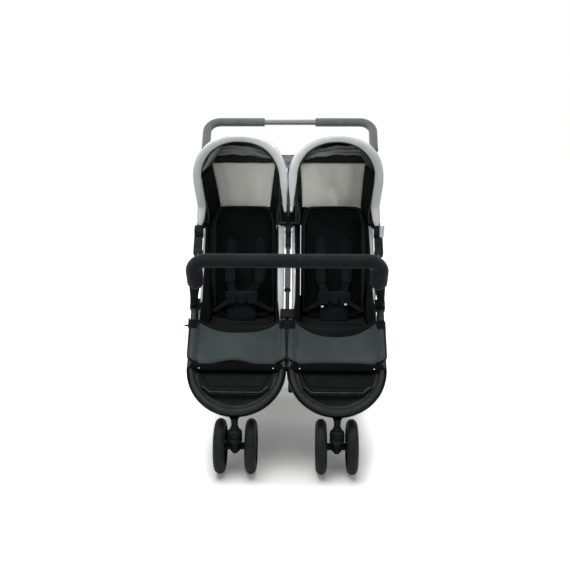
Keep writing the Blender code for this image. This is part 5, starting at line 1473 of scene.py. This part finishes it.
for side, half in halves:
    middle = side * seat_middle
    shares = [-1 + 2 * i / 56 for i in range(57)]

    # The padded hem, along the front bow and down to a tip at each end.
    hem_path = []
    for share in shares:
        dx, run = bow_shape(share, 0.1445, 0.3480, inner=-side)
        hem_path.append(canopy_point(middle, dx, run, front_angle))
    tips = []
    for way, line in ((-1, hem_path[0]), (1, hem_path[-1])):
        outer = way == side
        low_end = Vector((middle + way * (0.146 if outer else 0.1405),
                          0.036 if outer else 0.048, 0.727 if outer else 0.772))
        tips.append([line.lerp(low_end, i / 5) for i in range(1, 6)])
    hem_line = [*tips[0][::-1], *hem_path, *tips[1]]
    hem_sizes = []
    for i, place in enumerate(hem_line):
        end = min(i, len(hem_line) - 1 - i)
        full = (0.45, 0.80, 0.92, 0.97)[end] if end < 4 else 1.0
        puff = 1 + 0.05 * noise.noise(place * 18)
        slim = 0.62 * rise(0.905 - place.z, 0.0, 0.13) if (place.x - middle) * side < 0 else 0.0
        place.x -= side * 0.0148 * slim
        hem_sizes.append((0.0148 * full * puff * (1 - slim),
                          0.0105 * full * puff * (1 - 0.5 * slim)))
    hem_shape = sleeve_along(f"canopy_hem_{half}", hem_line, hem_sizes, hem_cloth, 24,
                             first_up=Vector((0, -0.47, -0.88)))
    belongs(hem_shape, f"canopy_front_{half}")

    # The roof cloth over both bows, and the cloth from it down to the handle frame.
    roof = []
    for i in range(27):
        share_back = i / 26
        angle = front_angle - 0.012 + (rear_angle - front_angle) * share_back
        half_width, reach = canopy_measures(angle)
        sag = 0.0100 * abs(math.sin(2 * math.pi * share_back))
        row = []
        for share in shares:
            dx, run = bow_shape(share, half_width, reach, inner=-side)
            slack = sag * (1 - 0.55 * abs(share))
            wave = 0.0022 * noise.noise(Vector((share * 5, share_back * 6, side * 4)))
            wave += 0.0012 * math.sin(share * 21 + side) * math.sin(math.pi * share_back * 2) ** 2
            move = wave - slack + 0.0022
            out = Vector((dx / 0.146, 0, 0)) * move
            row.append(canopy_point(middle, dx, run + move * (1 - abs(share)) ** 0.5, angle) + out)
        roof.append(row)
    for i in range(1, 11):
        part = i / 10
        row = []
        for share, top in zip(shares, roof[26]):
            bottom = Vector((middle + share * 0.121, 0.232, 0.752))
            fold = (0.0035 * math.sin(part * math.pi) * math.cos(share * 9)
                    + 0.0012 * math.sin(share * 31 + part * 2) * part)
            row.append(top.lerp(bottom, part) + Vector((0, fold, 0)))
        roof.append(row)
    cover = cloth_rows(f"canopy_cover_{half}", roof[:28], canopy_cloth, 0.0014)
    cover_back = cloth_rows(f"canopy_back_{half}", roof[27:], canopy_cloth, 0.0014)
    follows(remade(cover_back))
    between_bows(cover)
    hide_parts(f"canopy_fabric_{half}")

    # Linings: black inside both sides, and a loose dark grey one under the roof.
    for way in (-1, 1):
        where = "outer" if way == side else "inner"
        rows = []
        for i in range(15):
            share_back = i / 14
            angle = front_angle - 0.03 + (rear_angle - 0.06 - front_angle) * share_back
            half_width, reach = canopy_measures(max(angle, rear_angle))
            row = []
            for k in range(17):
                share = 0.56 + 0.44 * k / 16 - 0.03 * share_back
                dx, run = bow_shape(share, half_width - 0.0045, reach - 0.006)
                row.append(canopy_point(middle, way * (dx - 0.004 * share_back),
                                        run - 0.006 * share_back, angle))
            rows.append(row)
        lining = cloth_rows(f"canopy_side_{half}_{where}", rows, black_lining, 0.0010)
        between_bows(lining)
    rows = []
    for i in range(19):
        share_back = i / 18
        angle = front_angle - 0.03 + (rear_angle + 0.02 - front_angle) * share_back
        half_width, reach = canopy_measures(angle)
        sag = 0.010 * abs(math.sin(2 * math.pi * share_back)) + 0.010 * rise(share_back, 0.45, 0.95)
        row = []
        for k in range(33):
            share = -0.62 + 1.24 * k / 32
            dx, run = bow_shape(share, half_width - 0.005, reach - 0.007, inner=-side)
            loose = noise.noise(Vector((share * 4.5 + side, share_back * 5, 3)))
            fold = 0.0055 * loose * rise(share_back, 0.1, 0.5)
            wave = math.sin(share * 17 + share_back * 9 + side * 2)
            fold += 0.0022 * wave * rise(share_back, 0.3, 0.8)
            row.append(canopy_point(middle, dx, run - sag + min(fold, 0.004), angle))
        rows.append(row)
    roof_under = cloth_rows(f"canopy_roof_lining_{half}", rows, roof_lining, 0.0010)
    between_bows(roof_under)

    # Folds gathered where the roof meets the drop panel.
    pleats = []
    for i in range(25):
        down = i / 24
        row = []
        for k in range(41):
            across = -1 + 2 * k / 40
            slant = 0.006 * across * side - 0.010 * across * across
            fold = 0.0062 * math.sin(down * 15 + across * 2.2 * side + 1.5
                                     * noise.noise(Vector((across * 2, side, 0))))
            fold += 0.0045 * noise.noise(Vector((across * 3.5 + side * 4, down * 4, 2)))
            row.append(Vector((middle + across * (0.086 + 0.014 * down),
                               0.140 + 0.024 * down - fold,
                               0.9905 + slant - 0.034 * down + 0.0015
                               * math.sin(across * 9 + side))))
        pleats.append(row)
    pleat = cloth_rows(f"roof_pleat_{half}", pleats, pleat_cloth, 0.0012)
    follows(remade(pleat))

    # The drop panel with its hem, the black band over it, and a black veil on the seat back.
    (top_out, low_out), (top_in, low_in) = drop_widths[half]
    rows, band = [], []
    for i in range(21):
        down = i / 20
        row = []
        for k in range(37):
            across = -1 + 2 * k / 36
            outer = across * side > 0
            reach_top = top_out if outer else top_in
            reach_low = low_out if outer else low_in
            pull = math.sin(math.pi * down) * 0.006
            dx = across * (reach_top + (reach_low - reach_top) * down ** 1.15 - pull)
            hang = 0.9275 + (0.767 - 0.9275) * down - 0.0035 * (1 - across * across) * down
            ripple = 0.0085 * noise.noise(Vector((across * 2.6 + side * 3, down * 2.0, 5)))
            crease_at = (-0.74 + 0.30 * down) if half == "left" else (0.62 - 0.10 * down)
            ripple -= 0.0080 * groove(across - crease_at, 0.075) * (1 - 0.5 * down)
            ripple -= 0.0040 * groove(across + 0.25 - 0.5 * down, 0.16) * math.sin(math.pi * down)
            ripple += 0.0028 * math.sin(across * 7.5 + side * 1.2 + down * 1.5) * (0.3 + 0.7 * down)
            if half == "right" and across > 0.7:
                hang -= 0.016 * rise(across, 0.72, 1.0) * rise(down, 0.6, 1.0)
            row.append(Vector((middle + dx, 0.168 + 0.029 * down + min(ripple, 0.003), hang)))
        rows.append(row)
    for i in range(7):
        down = i / 6
        row = []
        for k in range(37):
            across = -1 + 2 * k / 36
            reach_here = (top_out if across * side > 0 else top_in) + 0.002 - 0.016 * (1 - down)
            sway = 0.004 * noise.noise(Vector((across * 3 + side * 5, 1, 1)))
            row.append(Vector((middle + across * reach_here,
                               0.1725 - 0.005 * math.sin(math.pi * down) * abs(across),
                               0.967 - 0.041 * down + (sway * 2 - 0.020 * across ** 4)
                               * (1 - down))))
        band.append(row)
    drop = cloth_rows(f"drop_panel_{half}", rows, warm_panel_painted_light, 0.0012)
    strip = cloth_rows(f"drop_band_{half}", band, band_cloth, 0.0012)
    edge_line = [p + Vector((0, -0.0006, 0)) for p in rows[-1]]
    hem_cord = bead_along(f"drop_hem_{half}", edge_line, 0.0017, warm_panel_painted_light)
    for piece, finish in ((drop, "light_grey_fabric"), (strip, "black_fabric"),
                          (hem_cord, "light_grey_fabric")):
        follows(remade(piece))
    veil_rows = [[Vector((middle + (0.111 + 0.016 * i / 10) * (-1 + k / 14),
                          0.2055 - 0.0125 * i / 10, 0.776 - 0.078 * i / 10)) for k in range(29)]
                 for i in range(11)]
    veil = cloth_rows(f"canopy_veil_{half}", veil_rows, black_lining, 0.0010)
    belongs(veil, f"back_{half}")

# Black curtains close each hood's sides, from its hem back to the drop panel.
for side, half in halves:
    middle = side * seat_middle
    for way in (-1, 1):
        outer = way == side
        top = 0.904 if outer else 0.898
        wide_top, wide_low = drop_widths[half][0 if outer else 1]
        rows = []
        for i in range(21):
            share = i / 20
            row = []
            for k in range(15):
                back = k / 14
                z = (top + (0.922 - top) * back) * (1 - share) + 0.710 * share
                hem_y = 0.079 - max(z - 0.727, 0) * 0.532 - 0.020 * (1 - rise(z, 0.715, 0.78))
                panel_share = min(max((0.9275 - z) / 0.160, 0), 1)
                near = 0.1325 + (0.0035 if outer else 0.0235) * rise(-z, -0.83, -0.79)
                far = wide_top + (wide_low - wide_top) * panel_share - 0.004 * (1 - panel_share)
                far += (0.1150 - far) * rise(0.775 - z, 0.0, 0.05)
                rear_y = 0.166 + 0.029 * panel_share
                rear_y += (back_line(z) - 0.004 - rear_y) * rise(0.775 - z, 0.005, 0.025)
                loose = 0.0035 * noise.noise(Vector((way * 4 + side, back * 3, z * 14)))
                loose *= math.sin(math.pi * back)
                row.append(Vector((middle + way * (near + (far - near) * back ** 1.2 + loose),
                                   hem_y + (rear_y - hem_y) * back, z)))
            rows.append(row)
        curtain = cloth_rows(f"canopy_curtain_{half}_{'outer' if outer else 'inner'}", rows,
                             black_lining, 0.0010)
        follows(remade(curtain))

# A mesh gusset on the left hood, the loose tip of the right hem, and the tab between the hoods.
gusset_rows = []
for i in range(11):
    down = i / 10
    row = []
    for k in range(9):
        across = k / 8
        left = Vector((-0.2480, 0.010, 0.993)).lerp(Vector((-0.2975, 0.000, 0.905)), down)
        right = Vector((-0.2290, 0.150, 0.998)).lerp(Vector((-0.2870, 0.150, 0.918)), down)
        row.append(left.lerp(right, across) + Vector((0.003, 0, 0.002))
                   * math.sin(math.pi * across))
    gusset_rows.append(row)
gusset = cloth_rows("mesh_gusset", gusset_rows, window_mesh, 0.0008)
follows(remade(gusset))

flap_rows = [[Vector((0.3160 + 0.0150 * k / 6 - 0.002 * i / 8,
                      0.030 - 0.010 * math.sin(math.pi * k / 6),
                      0.728 - 0.040 * i / 8 + 0.006 * (k / 6 - 0.5) ** 2)) for k in range(7)]
             for i in range(9)]
loose_tip = cloth_rows("hem_tip", flap_rows, hem_cloth, 0.0016)
belongs(loose_tip, "canopy_front_right")

tab_rows = [[Vector((-0.0185 + 0.0370 * k / 8,
                     0.020 - 0.006 * math.sin(math.pi * k / 8) + 0.002 * math.sin(i * 1.3),
                     0.9680 - 0.042 * i / 8 - 0.002 * math.cos(math.pi * k / 4)))
             for k in range(9)] for i in range(9)]
canopy_tab = cloth_rows("canopy_tab", tab_rows, roof_lining, 0.0016)
clip_snap = turned_piece("canopy_snap",
                         [(0, 0.0030), (0.0030, 0.0026), (0.0042, 0.0010), (0.0042, -0.001)],
                         black_nylon, (0, 0.0165, 0.944), (0, -1, 0), 20)
for piece in (canopy_tab, clip_snap):
    belongs(piece, "handle_frame")
